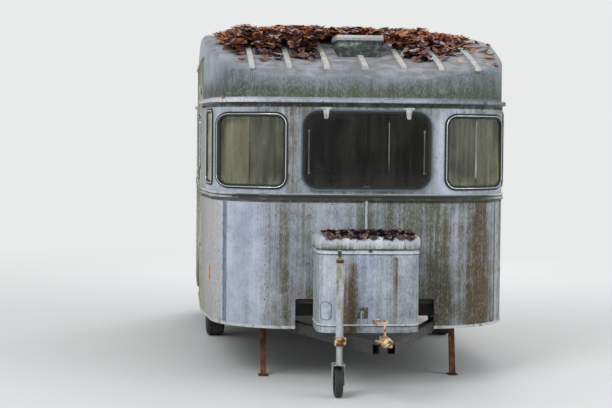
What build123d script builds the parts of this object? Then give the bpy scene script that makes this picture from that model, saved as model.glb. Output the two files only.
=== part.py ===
from build123d import *
import os
from math import cos, radians, sin, sqrt

os.makedirs("parts", exist_ok=True)

# A small touring caravan of the 1970s. Millimetres. Modelled with the middle of the
# front wall at Y = 0, Y running to the rear, X to the right as seen from the drawbar,
# Z = 0 on the ground. save() moves all of it so that the overall length is centred on Y = 0.

# Shell in plan: a nearly flat front, round corners, flanks that widen to a joint
body_length = 4620
half_width = 1100
wall = 28
bow_radius = 12000
corner_radius = 580
taper_angle = 5.6
joint_y = 1115

# Shell in height
skirt_z = 370
floor_z = 585
floor_thick = 45
gutter_z = 1896
fascia_z = 2080
roof_break = (95, 2138)
side_top_z = roof_break[1] + 112
crown_rise = 345
roof_inset = 8
roof_thick = 24
roof_edge_round = roof_break[0] - 40
flange_out = 22
flange_low = 10
flange_high = 36

# Belt, trims and windows
belt_z = 1268
belt_high = 46
belt_out = 12
groove_high = 12
groove_deep = 5
lip_high = 20
lip_out = 5
strip_out = 5
bead_x = half_width - 142
bead_wide = 28
bead_top_z = 1226
centre_strip_wide = 24
joint_strip_wide = 26
roof_rail_high = 22
roof_rail_out = 9
rubber_cover = 13
rubber_out = 6
rubber_in = 12
glass_thick = 4
glass_inset = 3

# Centre window: a pane hung on top of its opening
pane_width = 900
pane_low_z = 1312
pane_high_z = 1862
pane_round = 118
pane_lap = 24
pane_stand = 22
pane_sheet = 4
pane_edge = 9
hinge_thick = 8

# Roof hatch
hatch_y = 440
hatch_wide = 316
hatch_long = 380
hatch_wall = 12
hatch_top_z = 2358
hatch_round = 16
hatch_lid_lap = 10
hatch_lid_high = 36
hatch_lid_skirt = 10
hatch_lid_thick = 5
rib_wide = 40
rib_high = 14
rib_places = (-780, -525, -265, 0, 265, 525, 780)

# Lid hinges: places across, barrel and pin radius, half widths of the hinge and its middle barrel
hatch_hinge_places = (-110, 110)
locker_hinge_places = (-200, 200)
barrel_radius = 6
lid_pin_radius = 2.5
hinge_half = 26
barrel_middle = 9
barrel_gap = 0.5

# Door in the left-hand side wall
door_front_y = 1200
door_width = 580
door_low_z = 604
door_high_z = 2168
door_gap = 6
door_thick = 28
door_pane_wide = 360
door_pane_high = 400
door_pane_z = 1620
door_pane_round = 60

# Chassis, axle and wheels
rail_x = half_width - 540
rail_wide = 50
rail_low_z = 405
rail_front_y = 160
rail_wall = 4
arm_low_z = 335
arm_wide = 50
arm_notch_x = 411
arm_nose_x = 48
arm_nose_y = -930
axle_y = 2450
axle_size = 80
axle_ahead = 150
track_half = half_width - 142
tyre_radius = 290
tyre_wide = 156
rim_radius = 165
spindle_radius = 15
run_fit = 0.05
arch_radius = 345

# Drawbar furniture
coupling_z = 425
ball_radius = 25
socket_wall = 9
head_ahead = 150
locker_x = -31
locker_wide = 672
locker_front_y = -465
locker_deep = 350
locker_low_z = rail_low_z
locker_high_z = 957
locker_round = 100
locker_wall = 5
lid_high = 78
lid_lap = 9
jockey_x = -240
jockey_y = -600
jockey_tube_radius = 24
jockey_inner_radius = 20
jockey_top_z = 900
jockey_wheel_radius = 100
jockey_wheel_wide = 58
jockey_trail = 55

# Corner steadies
steady_x = half_width - 428
steady_y = 430
steady_pivot_z = 430
steady_lean = 90
steady_pin_radius = 8
leg_wide = 40
leg_deep = 32
leg_wall = 3
foot_wide = 70
foot_long = 96
foot_thick = 5

# Inside
seat_front_z = 930
seat_deep = 640
board = 16
cushion_high = 100
cushion_gap = 3
soft_gap = 0.3
curtain_gap = 14
curtain_thick = 10
curtain_low_z = 1282
curtain_high_z = 1862

overall_front = arm_nose_y - head_ahead - ball_radius - socket_wall
overall_rear = body_length + pane_stand + hinge_thick
centre_y = (overall_front + overall_rear) / 2


def block(x_low, x_high, y_low, y_high, z_low, z_high):
    """A box given by its six faces."""
    size = Box(x_high - x_low, y_high - y_low, z_high - z_low, align=(Align.MIN,) * 3)
    return Pos(x_low, y_low, z_low) * size


def slab(face, z_low, z_high):
    """A flat face in plan, made into a solid from one height to another."""
    return extrude(Pos(0, 0, z_low) * face, amount=z_high - z_low, dir=(0, 0, 1))


def prism_y(x, z, wide, high, round_off, y_low, y_high):
    """A rounded rectangle seen from the front, running along Y."""
    plane = Plane(origin=(x, y_high, z), x_dir=(1, 0, 0), z_dir=(0, -1, 0))
    return extrude(plane * RectangleRounded(wide, high, round_off), amount=y_high - y_low)


def prism_x(y, z, wide, high, round_off, x_low, x_high):
    """A rounded rectangle seen from the side, running along X."""
    plane = Plane(origin=(x_low, y, z), x_dir=(0, 1, 0), z_dir=(1, 0, 0))
    return extrude(plane * RectangleRounded(wide, high, round_off), amount=x_high - x_low)


def rod_x(y, z, radius, x_low, x_high):
    plane = Plane(origin=(x_low, y, z), x_dir=(0, 1, 0), z_dir=(1, 0, 0))
    return extrude(plane * Circle(radius), amount=x_high - x_low)


def rod_y(x, z, radius, y_low, y_high):
    plane = Plane(origin=(x, y_low, z), x_dir=(-1, 0, 0), z_dir=(0, 1, 0))
    return extrude(plane * Circle(radius), amount=y_high - y_low)


def rod_z(x, y, radius, z_low, z_high):
    return Pos(x, y, z_low) * extrude(Circle(radius), amount=z_high - z_low)


def bar(start, end, size_1, size_2, up=(0, 0, 1)):
    """A rectangular bar from one point to another; size_2 is measured towards up."""
    along = Vector(*end) - Vector(*start)
    side = Vector(*up).cross(along)
    plane = Plane(origin=start, x_dir=side, z_dir=along)
    return extrude(plane * Rectangle(size_1, size_2), amount=along.length)


def barrels(x, y, z, radius, pin_radius, half, middle):
    """Hinge barrels along X: two fixed ones on a pin, and the bore that the middle one needs."""
    fixed = rod_x(y, z, radius, x - half, x - middle - barrel_gap)
    fixed += rod_x(y, z, radius, x + middle + barrel_gap, x + half)
    fixed += rod_x(y, z, pin_radius, x - half, x + half)
    bore = rod_x(y, z, pin_radius + run_fit, x - half, x + half)
    return fixed, rod_x(y, z, radius, x - middle, x + middle), bore


def mirror_x(shape):
    return mirror(shape, about=Plane.YZ)


def mirror_y(shape):
    return mirror(shape, about=Plane.XZ.offset(-body_length / 2))


def both_sides(shape):
    return shape + mirror_x(shape)


def all_corners(shape):
    pair = both_sides(shape)
    return pair + mirror_y(pair)


def save(node, *shapes):
    """Write one node, moved so that the overall length is centred on Y = 0."""
    solids = []
    for shape in shapes:
        solids.extend(shape.solids())
    moved = [Pos(0, -centre_y, 0) * solid for solid in solids]
    whole = moved[0] if len(moved) == 1 else Compound(children=moved)
    export_step(whole, f"parts/{node}.step")


# Plan outline
normal_x = cos(radians(taper_angle))
normal_y = -sin(radians(taper_angle))
flank_reach = half_width * normal_x + joint_y * normal_y - corner_radius
bow_gap = bow_radius - corner_radius
flank_along = bow_radius * normal_x - sqrt(bow_gap**2 - (flank_reach - bow_radius * normal_y) ** 2)
corner_x = normal_x * flank_reach - normal_y * flank_along
corner_y = normal_y * flank_reach + normal_x * flank_along
bow_x = corner_x / bow_gap
bow_y = (corner_y - bow_radius) / bow_gap


def plan_points(inset):
    """Right-hand points of the outline, moved inwards: bow end, corner middle, flank start, joint."""
    radius = corner_radius - inset
    bow_end = (bow_x * (bow_radius - inset), bow_radius + bow_y * (bow_radius - inset))
    flank_start = (corner_x + normal_x * radius, corner_y + normal_y * radius)
    middle = Vector(bow_x + normal_x, bow_y + normal_y).normalized() * radius
    corner_mid = (corner_x + middle.X, corner_y + middle.Y)
    joint_x = half_width - inset
    run = (joint_x - flank_start[0]) / -normal_y
    joint = (joint_x, flank_start[1] + normal_x * run)
    return bow_end, corner_mid, flank_start, joint


def plan_face(inset):
    """The whole outline of the shell seen from above, as a face."""
    right = plan_points(inset)
    left = [(-x, y) for x, y in right]
    half = [
        ThreePointArc(left[0], (0, inset), right[0]),
        ThreePointArc(right[0], right[1], right[2]),
        Line(right[2], right[3]),
        ThreePointArc(left[0], left[1], left[2]),
        Line(left[2], left[3]),
    ]
    rear = [mirror_y(edge) for edge in half]
    far_right = (right[3][0], body_length - right[3][1])
    far_left = (left[3][0], body_length - left[3][1])
    flanks = [Line(right[3], far_right), Line(left[3], far_left)]
    edges = []
    for line in half + rear + flanks:
        edges.extend(line.edges())
    return Face(Wire(edges))


def front_y(x, inset=0):
    """Where the outline lies at a given X, on the front bow or the corner."""
    bow_end = plan_points(inset)[0]
    if abs(x) <= bow_end[0]:
        return bow_radius - sqrt((bow_radius - inset) ** 2 - x**2)
    return corner_y - sqrt((corner_radius - inset) ** 2 - (abs(x) - corner_x) ** 2)


def flank_x(y, inset=0):
    """Where the tapered flank lies at a given Y."""
    joint = plan_points(inset)[3]
    return joint[0] + (y - joint[1]) * -normal_y / normal_x


def band(outer, inner, z_low, z_high):
    """A ring of the shell between two insets and two heights."""
    return slab(plan_face(outer) - plan_face(inner), z_low, z_high)


far = 3000
front_zone = block(-far, far, -far, joint_y, -far, far)
left_zone = block(-far, 0, joint_y, body_length - joint_y, -far, far)
right_zone = block(0, far, joint_y, body_length - joint_y, -far, far)

# Window table: name, kind of view, place across, width, corner round, low and high edge
# of what the rubber covers. Front ones look along Y, side ones along X.
window_low_z = 1316
window_high_z = 1843
flank_window_high_z = 1868
corner_windows = [
    ("corner", "front", half_width - 323, 484, 86, window_low_z, window_high_z),
    ("flank", "side", 630, 350, 60, window_low_z + 10, flank_window_high_z),
]
side_windows = [
    ("left_rear", "side", -1, axle_y + 30, 800, 86),
    ("right_front", "side", 1, joint_y + 545, 640, 86),
    ("right_rear", "side", 1, axle_y + 270, 860, 86),
]


def corner_opening(row, grow):
    """The prism of a corner or flank window on the right-hand front, grown all round."""
    name, view, place, wide, round_off, low, high = row
    middle = (low + high) / 2
    size = (wide + 2 * grow, high - low + 2 * grow, round_off + grow)
    if view == "front":
        return prism_y(place, middle, *size, -200, corner_y)
    return prism_x(place, middle, *size, half_width - 200, half_width + 200)


def side_opening(row, grow):
    """The prism of a window in the middle section of a side wall, grown all round."""
    name, view, side, place, wide, round_off = row
    middle = (window_low_z + window_high_z) / 2
    size = (wide + 2 * grow, window_high_z - window_low_z + 2 * grow, round_off + grow)
    prism = prism_x(place, middle, *size, half_width - 200, half_width + 200)
    return prism if side > 0 else mirror_x(prism)


def glazed(opening, rubber_ring, pane_ring, low_ring):
    """Rubber and pane of one window, from its prisms and the rings that they are cut from."""
    pane = opening(-rubber_cover - 6) & pane_ring
    core = (opening(-rubber_cover) - opening(-rubber_cover - rubber_in)) & low_ring
    lips = (opening(0) - opening(-rubber_cover - rubber_in)) & rubber_ring
    return (lips + core) - pane, pane


# Front and rear walls, with the joint at the middle section
full_ring = band(0, wall, skirt_z, gutter_z)
pane_middle_z = (pane_low_z + pane_high_z) / 2
pane_high = pane_high_z - pane_low_z


def pane_prism(grow, y_low, y_high):
    size = (pane_width + 2 * grow, pane_high + 2 * grow, pane_round + grow)
    return prism_y(0, pane_middle_z, *size, y_low, y_high)


end_cuts = [pane_prism(-pane_lap, -200, 200)]
for row in corner_windows:
    hole = corner_opening(row, -rubber_cover)
    end_cuts.extend([hole, mirror_x(hole)])

notch_wide = 132
notch_high_z = 575
notch_round = 14
notch_middle_z = skirt_z
notch_size = (notch_wide, 2 * (notch_high_z - notch_middle_z), notch_round)
notch = prism_y(arm_notch_x, notch_middle_z, *notch_size, -100, 200)

front_wall = full_ring & front_zone
for cut in end_cuts:
    front_wall -= cut
rear_wall = mirror_y(front_wall)
front_wall -= both_sides(notch)
save("front_wall", front_wall)
save("rear_wall", rear_wall)

# Side walls of the middle section, with door opening, windows and wheel arches
side_ring = band(0, wall, skirt_z, side_top_z)
arch_cut = rod_x(axle_y, tyre_radius, arch_radius, half_width - 200, half_width + 200)
door_middle_y = door_front_y + door_width / 2
door_middle_z = (door_low_z + door_high_z) / 2
door_high = door_high_z - door_low_z
door_round = 40


def door_prism(grow, x_low, x_high):
    size = (door_width + 2 * grow, door_high + 2 * grow, door_round + grow)
    return prism_x(door_middle_y, door_middle_z, *size, x_low, x_high)


left_wall = (side_ring & left_zone) - mirror_x(arch_cut)
left_wall -= door_prism(door_gap, -half_width - 200, -half_width + 200)
right_wall = (side_ring & right_zone) - arch_cut
for row in side_windows:
    hole = side_opening(row, -rubber_cover)
    if row[2] > 0:
        right_wall -= hole
    else:
        left_wall -= hole
save("side_wall_left", left_wall)
save("side_wall_right", right_wall)


# Roof: a cap with a tall fascia over the ends, crowned from front to rear
crown_half = body_length / 2 - roof_break[0]
crown_radius = (crown_half**2 + crown_rise**2) / (2 * crown_rise)
crown_z = roof_break[1] + crown_rise


def crown_height(y, offset=0):
    """Height of the crowned roof at a given Y."""
    return crown_z - crown_radius + sqrt((crown_radius + offset) ** 2 - (y - body_length / 2) ** 2)


def profile(offset, y_margin=0):
    """Side view of the roof down to the gutter, as a block across the whole width."""
    break_y = roof_break[0] - offset / 2
    low = (y_margin, gutter_z)
    corner = (y_margin, fascia_z + offset)
    start = (break_y, crown_height(break_y, offset))
    top = (body_length / 2, crown_z + offset)
    end = (body_length - break_y, start[1])
    far_corner = (body_length - y_margin, fascia_z + offset)
    far_low = (body_length - y_margin, gutter_z)
    lines = [
        Line(low, corner),
        Line(corner, start),
        ThreePointArc(start, top, end),
        Line(end, far_corner),
        Line(far_corner, far_low),
        Line(far_low, low),
    ]
    edges = []
    for line in lines:
        edges.extend(line.edges())
    side_plane = Plane(origin=(-half_width - 100, 0, 0), x_dir=(0, 1, 0), z_dir=(1, 0, 0))
    face = side_plane * Face(Wire(edges))
    return extrude(face, amount=2 * half_width + 200, dir=(1, 0, 0))


roof_outer = slab(plan_face(roof_inset), gutter_z, crown_z + 50) & profile(0, roof_inset)
rim = [edge for edge in roof_outer.edges() if edge.bounding_box().min.Z > fascia_z - 1]
rim = [edge for edge in rim if edge.bounding_box().size.X < 1.9 * half_width]
roof_outer = fillet(rim, roof_edge_round)
roof_inner = slab(plan_face(roof_inset + roof_thick), gutter_z, crown_z + 50)
roof_inner &= profile(-roof_thick, roof_inset + roof_thick)
flange = band(-flange_out, roof_inset + roof_thick, gutter_z + flange_low, gutter_z + flange_high)
flange += band(0, roof_inset + roof_thick, gutter_z, gutter_z + flange_low)
roof = (roof_outer - roof_inner) + flange
rib_front_y = roof_break[0] + 10
rib_block = profile(rib_high) - profile(-roof_thick / 2)
for x in rib_places:
    rib_zone = block(
        x - rib_wide / 2, x + rib_wide / 2, rib_front_y, body_length - rib_front_y, fascia_z, far
    )
    roof += rib_block & rib_zone
hatch_outer = Pos(0, hatch_y + hatch_long / 2, fascia_z) * extrude(
    RectangleRounded(hatch_wide, hatch_long, hatch_round), amount=hatch_top_z + 200 - fascia_z
)
hatch_inner = block(
    -hatch_wide / 2 + hatch_wall,
    hatch_wide / 2 - hatch_wall,
    hatch_y + hatch_wall,
    hatch_y + hatch_long - hatch_wall,
    fascia_z,
    hatch_top_z + 200,
)
roof -= hatch_outer
middle_cut = block(-far, far, joint_y, body_length - joint_y, 0, side_top_z)
roof -= middle_cut

# Hatch: a translucent curb with a level top, and a lid hinged at its rear edge
curb = (hatch_outer - hatch_inner) & block(-far, far, 0, far, 0, hatch_top_z)
curb -= roof_inner
save("hatch_curb", curb)
hatch_hinge_y = hatch_y + hatch_long + hatch_lid_lap + 10
hatch_hinge_z = hatch_top_z - 6
hatch_lid_size = (hatch_wide + 2 * hatch_lid_lap, hatch_long + 2 * hatch_lid_lap)
hatch_lid_centre = (0, hatch_y + hatch_long / 2)
hatch_lid_round = hatch_round + hatch_lid_lap
hatch_inside_size = (hatch_lid_size[0] - 2 * hatch_lid_thick, hatch_lid_size[1] - 2 * hatch_lid_thick)
lid_block = Pos(*hatch_lid_centre, hatch_top_z - hatch_lid_skirt) * extrude(
    RectangleRounded(*hatch_lid_size, hatch_lid_round), amount=hatch_lid_high + hatch_lid_skirt
)
top_edges = lid_block.edges().group_by(Axis.Z)[-1]
lid_block = fillet(top_edges, 14)
lid_hollow = Pos(*hatch_lid_centre, hatch_top_z - hatch_lid_skirt) * extrude(
    RectangleRounded(*hatch_inside_size, hatch_lid_round - hatch_lid_thick),
    amount=hatch_lid_high + hatch_lid_skirt - hatch_lid_thick,
)
hatch_lid = lid_block - lid_hollow
for x in hatch_hinge_places:
    fixed, middle, bore = barrels(
        x, hatch_hinge_y, hatch_hinge_z, barrel_radius, lid_pin_radius, hinge_half, barrel_middle
    )
    post = block(
        x - hinge_half,
        x + hinge_half,
        hatch_hinge_y - barrel_radius + 1,
        hatch_hinge_y + barrel_radius - 1,
        crown_height(hatch_hinge_y) - roof_thick / 2,
        hatch_hinge_z,
    )
    slot = block(
        x - barrel_middle - barrel_gap,
        x + barrel_middle + barrel_gap,
        hatch_hinge_y - 20,
        hatch_hinge_y + 20,
        hatch_hinge_z - barrel_radius - 4,
        hatch_hinge_z + 20,
    )
    roof += (post - slot) + fixed
    lug = block(
        x - barrel_middle,
        x + barrel_middle,
        hatch_y + hatch_long + hatch_lid_lap - 2,
        hatch_hinge_y,
        hatch_hinge_z - 4,
        hatch_hinge_z + 4,
    )
    hatch_lid += (lug + middle) - bore
save("roof", roof)
save("hatch_lid", hatch_lid)

# Floor, cut for the wheels and closed over them by boxes
wheel_box_in = 858
wheel_box_half = 372
wheel_box_top_z = 690
wheel_box_thick = 5
floor_plate = slab(plan_face(wall), floor_z - floor_thick, floor_z)
wheel_cut = block(
    wheel_box_in, half_width, axle_y - wheel_box_half, axle_y + wheel_box_half, 0, floor_z + 1
)
floor_plate -= both_sides(wheel_cut)
save("floor", floor_plate)
wheel_box = block(
    wheel_box_in,
    half_width - wall,
    axle_y - wheel_box_half,
    axle_y + wheel_box_half,
    floor_z - floor_thick,
    wheel_box_top_z,
)
wheel_box -= block(
    wheel_box_in + wheel_box_thick,
    half_width,
    axle_y - wheel_box_half + wheel_box_thick,
    axle_y + wheel_box_half - wheel_box_thick,
    0,
    wheel_box_top_z - wheel_box_thick,
)
save("wheel_boxes", wheel_box, mirror_x(wheel_box))

# Belt, skirt lip, beads and joint strips
belt = band(-belt_out, 0, belt_z - belt_high / 2, belt_z + belt_high / 2)
groove = band(-belt_out - 1, -belt_out + groove_deep, belt_z - groove_high / 2, belt_z + groove_high / 2)
belt -= groove
door_belt_zone = block(
    -far, 0, door_front_y - door_gap, door_front_y + door_width + door_gap, belt_z - 99, belt_z + 99
)
door_belt = belt & block(
    -far, 0, door_front_y + 8, door_front_y + door_width, belt_z - 99, belt_z + 99
)
belt_ring = belt - door_belt_zone
save("belt_moulding", belt_ring)
insert = band(
    -belt_out + 1.5, -belt_out + groove_deep, belt_z - groove_high / 2, belt_z + groove_high / 2
)
insert_left_x = -(half_width - 195)
insert_right_x = half_width - 485
insert_front = insert & block(insert_left_x, insert_right_x, -far, joint_y, 0, far)
insert_rest = (insert & block(-far, far, joint_y + 40, far * 3, 0, far)) - door_belt_zone
save("belt_insert", insert_front, insert_rest)

skirt_lip = band(-lip_out, 0, skirt_z, skirt_z + lip_high)
skirt_lip -= both_sides(prism_y(arm_notch_x, notch_middle_z, *notch_size, -100, 200))
skirt_lip -= both_sides(arch_cut)
strip_low_z = skirt_z + lip_high
belt_low_z = belt_z - belt_high / 2
belt_top_z = belt_z + belt_high / 2


def vertical_strip(outer, x_low, x_high, y_low, y_high, z_low, z_high):
    return band(-outer, 0, z_low, z_high) & block(x_low, x_high, y_low, y_high, z_low, z_high)


bead = vertical_strip(
    strip_out, bead_x - bead_wide / 2, bead_x + bead_wide / 2, -100, corner_y, strip_low_z, bead_top_z
)
centre_half = centre_strip_wide / 2
centre_strip = vertical_strip(
    strip_out, -centre_half, centre_half, -100, 100, strip_low_z, belt_low_z
)
joint_low = joint_y - joint_strip_wide / 2
joint_high = joint_y + joint_strip_wide / 2
joint_strips = []
for z_low, z_high in ((strip_low_z, belt_low_z), (belt_top_z, gutter_z)):
    strip = vertical_strip(strip_out, 0, far, joint_low, joint_high, z_low, z_high)
    joint_strips.append(all_corners(strip))
roof_rail = vertical_strip(
    roof_rail_out,
    0,
    far,
    joint_low,
    body_length - joint_low,
    side_top_z - roof_rail_high / 2,
    side_top_z + roof_rail_high / 2,
)
strips = [skirt_lip, all_corners(bead), centre_strip, mirror_y(centre_strip)] + joint_strips
strips.append(both_sides(roof_rail))
trims = strips[0]
for strip in strips[1:]:
    trims += strip
save("cover_strips", trims)

# Window rubbers and panes
rubber_ring = band(-rubber_out, 0, window_low_z - 50, gutter_z)
core_ring = band(0, wall, window_low_z - 50, gutter_z)
pane_ring = band(glass_inset, glass_inset + glass_thick, window_low_z - 50, gutter_z)
rubbers = []
panes = []
for row in corner_windows:
    rubber, pane = glazed(lambda grow: corner_opening(row, grow), rubber_ring, pane_ring, core_ring)
    for solid, group in ((rubber, rubbers), (pane, panes)):
        pair = both_sides(solid)
        group.extend([pair, mirror_y(pair)])
for row in side_windows:
    rubber, pane = glazed(lambda grow: side_opening(row, grow), rubber_ring, pane_ring, core_ring)
    rubbers.append(rubber)
    panes.append(pane)
save("window_rubbers", *rubbers)
save("window_glass", *panes)

# Centre window panes with hinges and stays
def centre_shell(outer, inner):
    return band(outer, inner, pane_low_z - 5, pane_high_z + 5)


pane_front = centre_shell(-pane_stand, -pane_stand + pane_sheet) & pane_prism(0, -200, 200)
pane_rim = centre_shell(-pane_stand + pane_sheet, 0) & (
    pane_prism(0, -200, 200) - pane_prism(-pane_edge, -200, 200)
)
centre_pane = pane_front + pane_rim
save("centre_panes", centre_pane, mirror_y(centre_pane))

hinge_places = (-282, 282)
hinge_wide = 78
hinge_tongue_half = 22
hinge_tip_half = 13
hinge_tongue_long = 64
hinge_plates = []
for x in hinge_places:
    plate = block(
        x - hinge_wide / 2, x + hinge_wide / 2, -pane_stand - hinge_thick, 5, pane_high_z + 1, pane_high_z + 15
    )
    plate -= slab(plan_face(0), 0, far)
    tongue_plane = Plane(origin=(x, -pane_stand - hinge_thick, pane_high_z + 1), x_dir=(1, 0, 0), z_dir=(0, 1, 0))
    tongue_face = make_face(
        Polyline(
            (-hinge_tongue_half, 0),
            (hinge_tongue_half, 0),
            (hinge_tip_half, hinge_tongue_long),
            (-hinge_tip_half, hinge_tongue_long),
            close=True,
        )
    )
    tongue_face = fillet(tongue_face.vertices().group_by(Axis.Y)[-1], 9)
    tongue = extrude(tongue_plane * tongue_face, amount=hinge_thick)
    tongue -= slab(plan_face(-pane_stand), 0, far)
    hinge_plates.append(plate + tongue)
stay_places = (-395, 395)
stay_low_z = 1432
stay_high_z = 1716
stays = []
for x in stay_places:
    y_stay = front_y(x) - pane_stand + pane_sheet + 0.6
    rod = rod_z(x, y_stay + 14, 4, stay_low_z, stay_high_z)
    for z in (stay_low_z, stay_high_z):
        rod += rod_y(x, z, 8, y_stay, y_stay + 24)
    stays.append(rod)
catch = block(
    -22, 22, -pane_stand + pane_sheet + 0.1, 0, pane_low_z + pane_edge, pane_low_z + pane_edge + 26
)
stays.append(catch)
fittings = []
for piece in hinge_plates + stays:
    fittings.extend([piece, mirror_y(piece)])
save("centre_window_fittings", *fittings)

# Door leaf with its own belt piece, window and hinges
hinge_pin_radius = 5
knuckle_radius = 10
hinge_axis_x = -half_width - knuckle_radius - 1
hinge_axis_y = door_front_y - door_gap / 2
door_ring = band(0, door_thick, skirt_z, side_top_z)
leaf = door_ring & door_prism(0, -half_width - 200, -half_width + 200)


def door_window_prism(grow):
    size = (door_pane_wide + 2 * grow, door_pane_high + 2 * grow, door_pane_round + grow)
    return prism_x(door_middle_y, door_pane_z, *size, -half_width - 200, -half_width + 200)


leaf -= door_window_prism(-rubber_cover)
leaf += door_belt
tall_rubber_ring = band(-rubber_out, 0, skirt_z, side_top_z)
tall_pane_ring = band(glass_inset, glass_inset + glass_thick, skirt_z, side_top_z)
door_rubber, door_pane = glazed(door_window_prism, tall_rubber_ring, tall_pane_ring, door_ring)
knuckle_rows = [(840, 70), (1980, 70)]
door_hinge_leaves = []
wall_knuckles = []
for low_z, tall in knuckle_rows:
    knuckle = rod_z(hinge_axis_x, hinge_axis_y, knuckle_radius, low_z, low_z + tall / 2 - 0.5)
    plate_y = door_front_y + 60
    plate = block(-half_width - 4, -half_width, hinge_axis_y, plate_y, low_z, low_z + tall / 2 - 0.5)
    pin = rod_z(hinge_axis_x, hinge_axis_y, hinge_pin_radius, low_z + 5, low_z + tall - 4)
    door_hinge_leaves.append(knuckle + plate + pin)
    upper = rod_z(hinge_axis_x, hinge_axis_y, knuckle_radius, low_z + tall / 2, low_z + tall)
    upper += block(
        -half_width - 4, -half_width, joint_high + 8, hinge_axis_y, low_z + tall / 2, low_z + tall
    )
    upper -= rod_z(hinge_axis_x, hinge_axis_y, hinge_pin_radius + run_fit, low_z, low_z + tall - 3)
    wall_knuckles.append(upper)
save("door_leaf", leaf)
save("door_rubber", door_rubber)
save("door_glass", door_pane)
handle_z = 1130
handle_y = door_front_y + door_width - 70
handle_plate = block(-half_width - 6, -half_width, handle_y - 25, handle_y + 25, handle_z - 60, handle_z + 60)
grip_x = -half_width - 16
handle_grip = bar((grip_x, handle_y, handle_z - 45), (grip_x, handle_y, handle_z + 45), 14, 8, (1, 0, 0))
for z in (handle_z - 38, handle_z + 38):
    handle_grip += rod_x(handle_y, z, 6, grip_x, -half_width - 5)
save("door_fittings", handle_plate + handle_grip, *door_hinge_leaves)
save("door_hinge_knuckles", *wall_knuckles)

# Lamps, reflectors and the blank rear plate
reflector_y = 585
reflector_z = 700
reflector = prism_x(reflector_y, reflector_z, 46, 84, 10, half_width - 300, half_width + 100)
reflector &= band(-9, 0, reflector_z - 99, reflector_z + 99)
rear_lamp_row = [(700, 95), (800, 95)]
lamp_z = 620
lamps = [reflector, mirror_x(reflector)]
for x, wide in rear_lamp_row:
    lamp = prism_y(x, lamp_z, wide - 4, 84, 14, -200, corner_y) & band(-28, 0, lamp_z - 99, lamp_z + 99)
    lamp = mirror_y(lamp)
    lamps.extend([lamp, mirror_x(lamp)])
save("lamps", *lamps)
plate = prism_y(0, 560, 520, 112, 8, -200, 200) & band(
    -strip_out - 4, -strip_out, 400, 800
)
save("number_plate", mirror_y(plate))

# Chassis: two channel rails with cross members, and steady brackets
rail_top_z = floor_z - floor_thick


def channel(x, outward):
    """A rail of C section with its back to the outside."""
    solid = block(
        x - rail_wide / 2, x + rail_wide / 2, rail_front_y, body_length - rail_front_y, rail_low_z, rail_top_z
    )
    hollow = block(
        x - rail_wide / 2 - (rail_wall if outward > 0 else -rail_wall),
        x + rail_wide / 2 - (rail_wall if outward > 0 else -rail_wall),
        0,
        body_length,
        rail_low_z + rail_wall,
        rail_top_z - rail_wall,
    )
    return solid - hollow


chassis = channel(rail_x, 1) + channel(-rail_x, -1)
cross_wide = 40
cross_count = 6
cross_first = rail_front_y + cross_wide / 2
cross_step = (body_length - 2 * cross_first) / (cross_count - 1)
cross_places = [cross_first + i * cross_step for i in range(cross_count)]
inner_reach = rail_x + rail_wide / 2 - rail_wall
for y in cross_places:
    member = block(
        -inner_reach, inner_reach, y - cross_wide / 2, y + cross_wide / 2, rail_low_z + 35, rail_top_z
    )
    member -= block(
        -far, far, y - cross_wide / 2 + 3, y + cross_wide / 2 - 3, rail_low_z + 38, rail_top_z - 3
    )
    chassis += member
outrigger_reach = half_width - 100
outrigger_low_z = rail_top_z - 34
outrigger_y = steady_y - 20
outrigger_from_axle = 850
outrigger_places = (
    outrigger_y,
    axle_y - outrigger_from_axle,
    axle_y + outrigger_from_axle,
    body_length - outrigger_y,
)
for y in outrigger_places:
    outrigger = block(
        rail_x + rail_wide / 2, outrigger_reach, y - 20, y + 20, outrigger_low_z, rail_top_z
    )
    outrigger &= slab(plan_face(wall + 6), 0, floor_z)
    chassis += both_sides(outrigger)
cheek = 4
cheek_gap = 1
cheek_in = leg_wide / 2 + cheek_gap
cheeks = []
for offset in (-cheek_in - cheek, cheek_in):
    plate_low = block(
        steady_x + offset,
        steady_x + offset + cheek,
        steady_y - 24,
        steady_y + 24,
        steady_pivot_z - 18,
        outrigger_low_z,
    )
    cheeks.append(plate_low)
pivot_pin = rod_x(
    steady_y,
    steady_pivot_z,
    steady_pin_radius,
    steady_x - cheek_in - cheek - 4,
    steady_x + cheek_in + cheek + 4,
)
bridge = block(
    steady_x - cheek_in - cheek,
    steady_x + cheek_in + cheek,
    steady_y - 24,
    steady_y + 24,
    outrigger_low_z - 4,
    outrigger_low_z,
)
steady_bracket = cheeks[0] + cheeks[1] + pivot_pin + bridge
chassis += all_corners(steady_bracket)
save("chassis", chassis)

# Drawbar: two arms that meet at the coupling
arm_high = rail_low_z - arm_low_z
arm_slope = (arm_notch_x - arm_nose_x) / -arm_nose_y
arm_rear_y = (rail_x - arm_notch_x) / arm_slope + 60
arm_middle_z = (arm_low_z + rail_low_z) / 2
arm_rear_x = arm_notch_x + arm_slope * arm_rear_y
arm = bar((arm_nose_x, arm_nose_y, arm_middle_z), (arm_rear_x, arm_rear_y, arm_middle_z), arm_wide, arm_high)
arm_hollow = bar(
    (arm_nose_x - 20 * arm_slope, arm_nose_y - 20, arm_middle_z),
    (arm_rear_x + 40 * arm_slope, arm_rear_y + 40, arm_middle_z),
    arm_wide - 8,
    arm_high - 8,
)
arm -= arm_hollow
drawbar = both_sides(arm)
nose_plate = slab(
    make_face(
        Polyline(
            (-95, arm_nose_y + 30),
            (95, arm_nose_y + 30),
            (55, arm_nose_y - 90),
            (-55, arm_nose_y - 90),
            close=True,
        )
    ),
    rail_low_z,
    rail_low_z + 8,
)
drawbar += nose_plate
tie_y = -620
tie_x = arm_notch_x + arm_slope * tie_y
drawbar += block(-tie_x, tie_x, tie_y - 20, tie_y + 20, arm_low_z + 4, arm_low_z + 44)
save("drawbar", drawbar)

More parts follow.
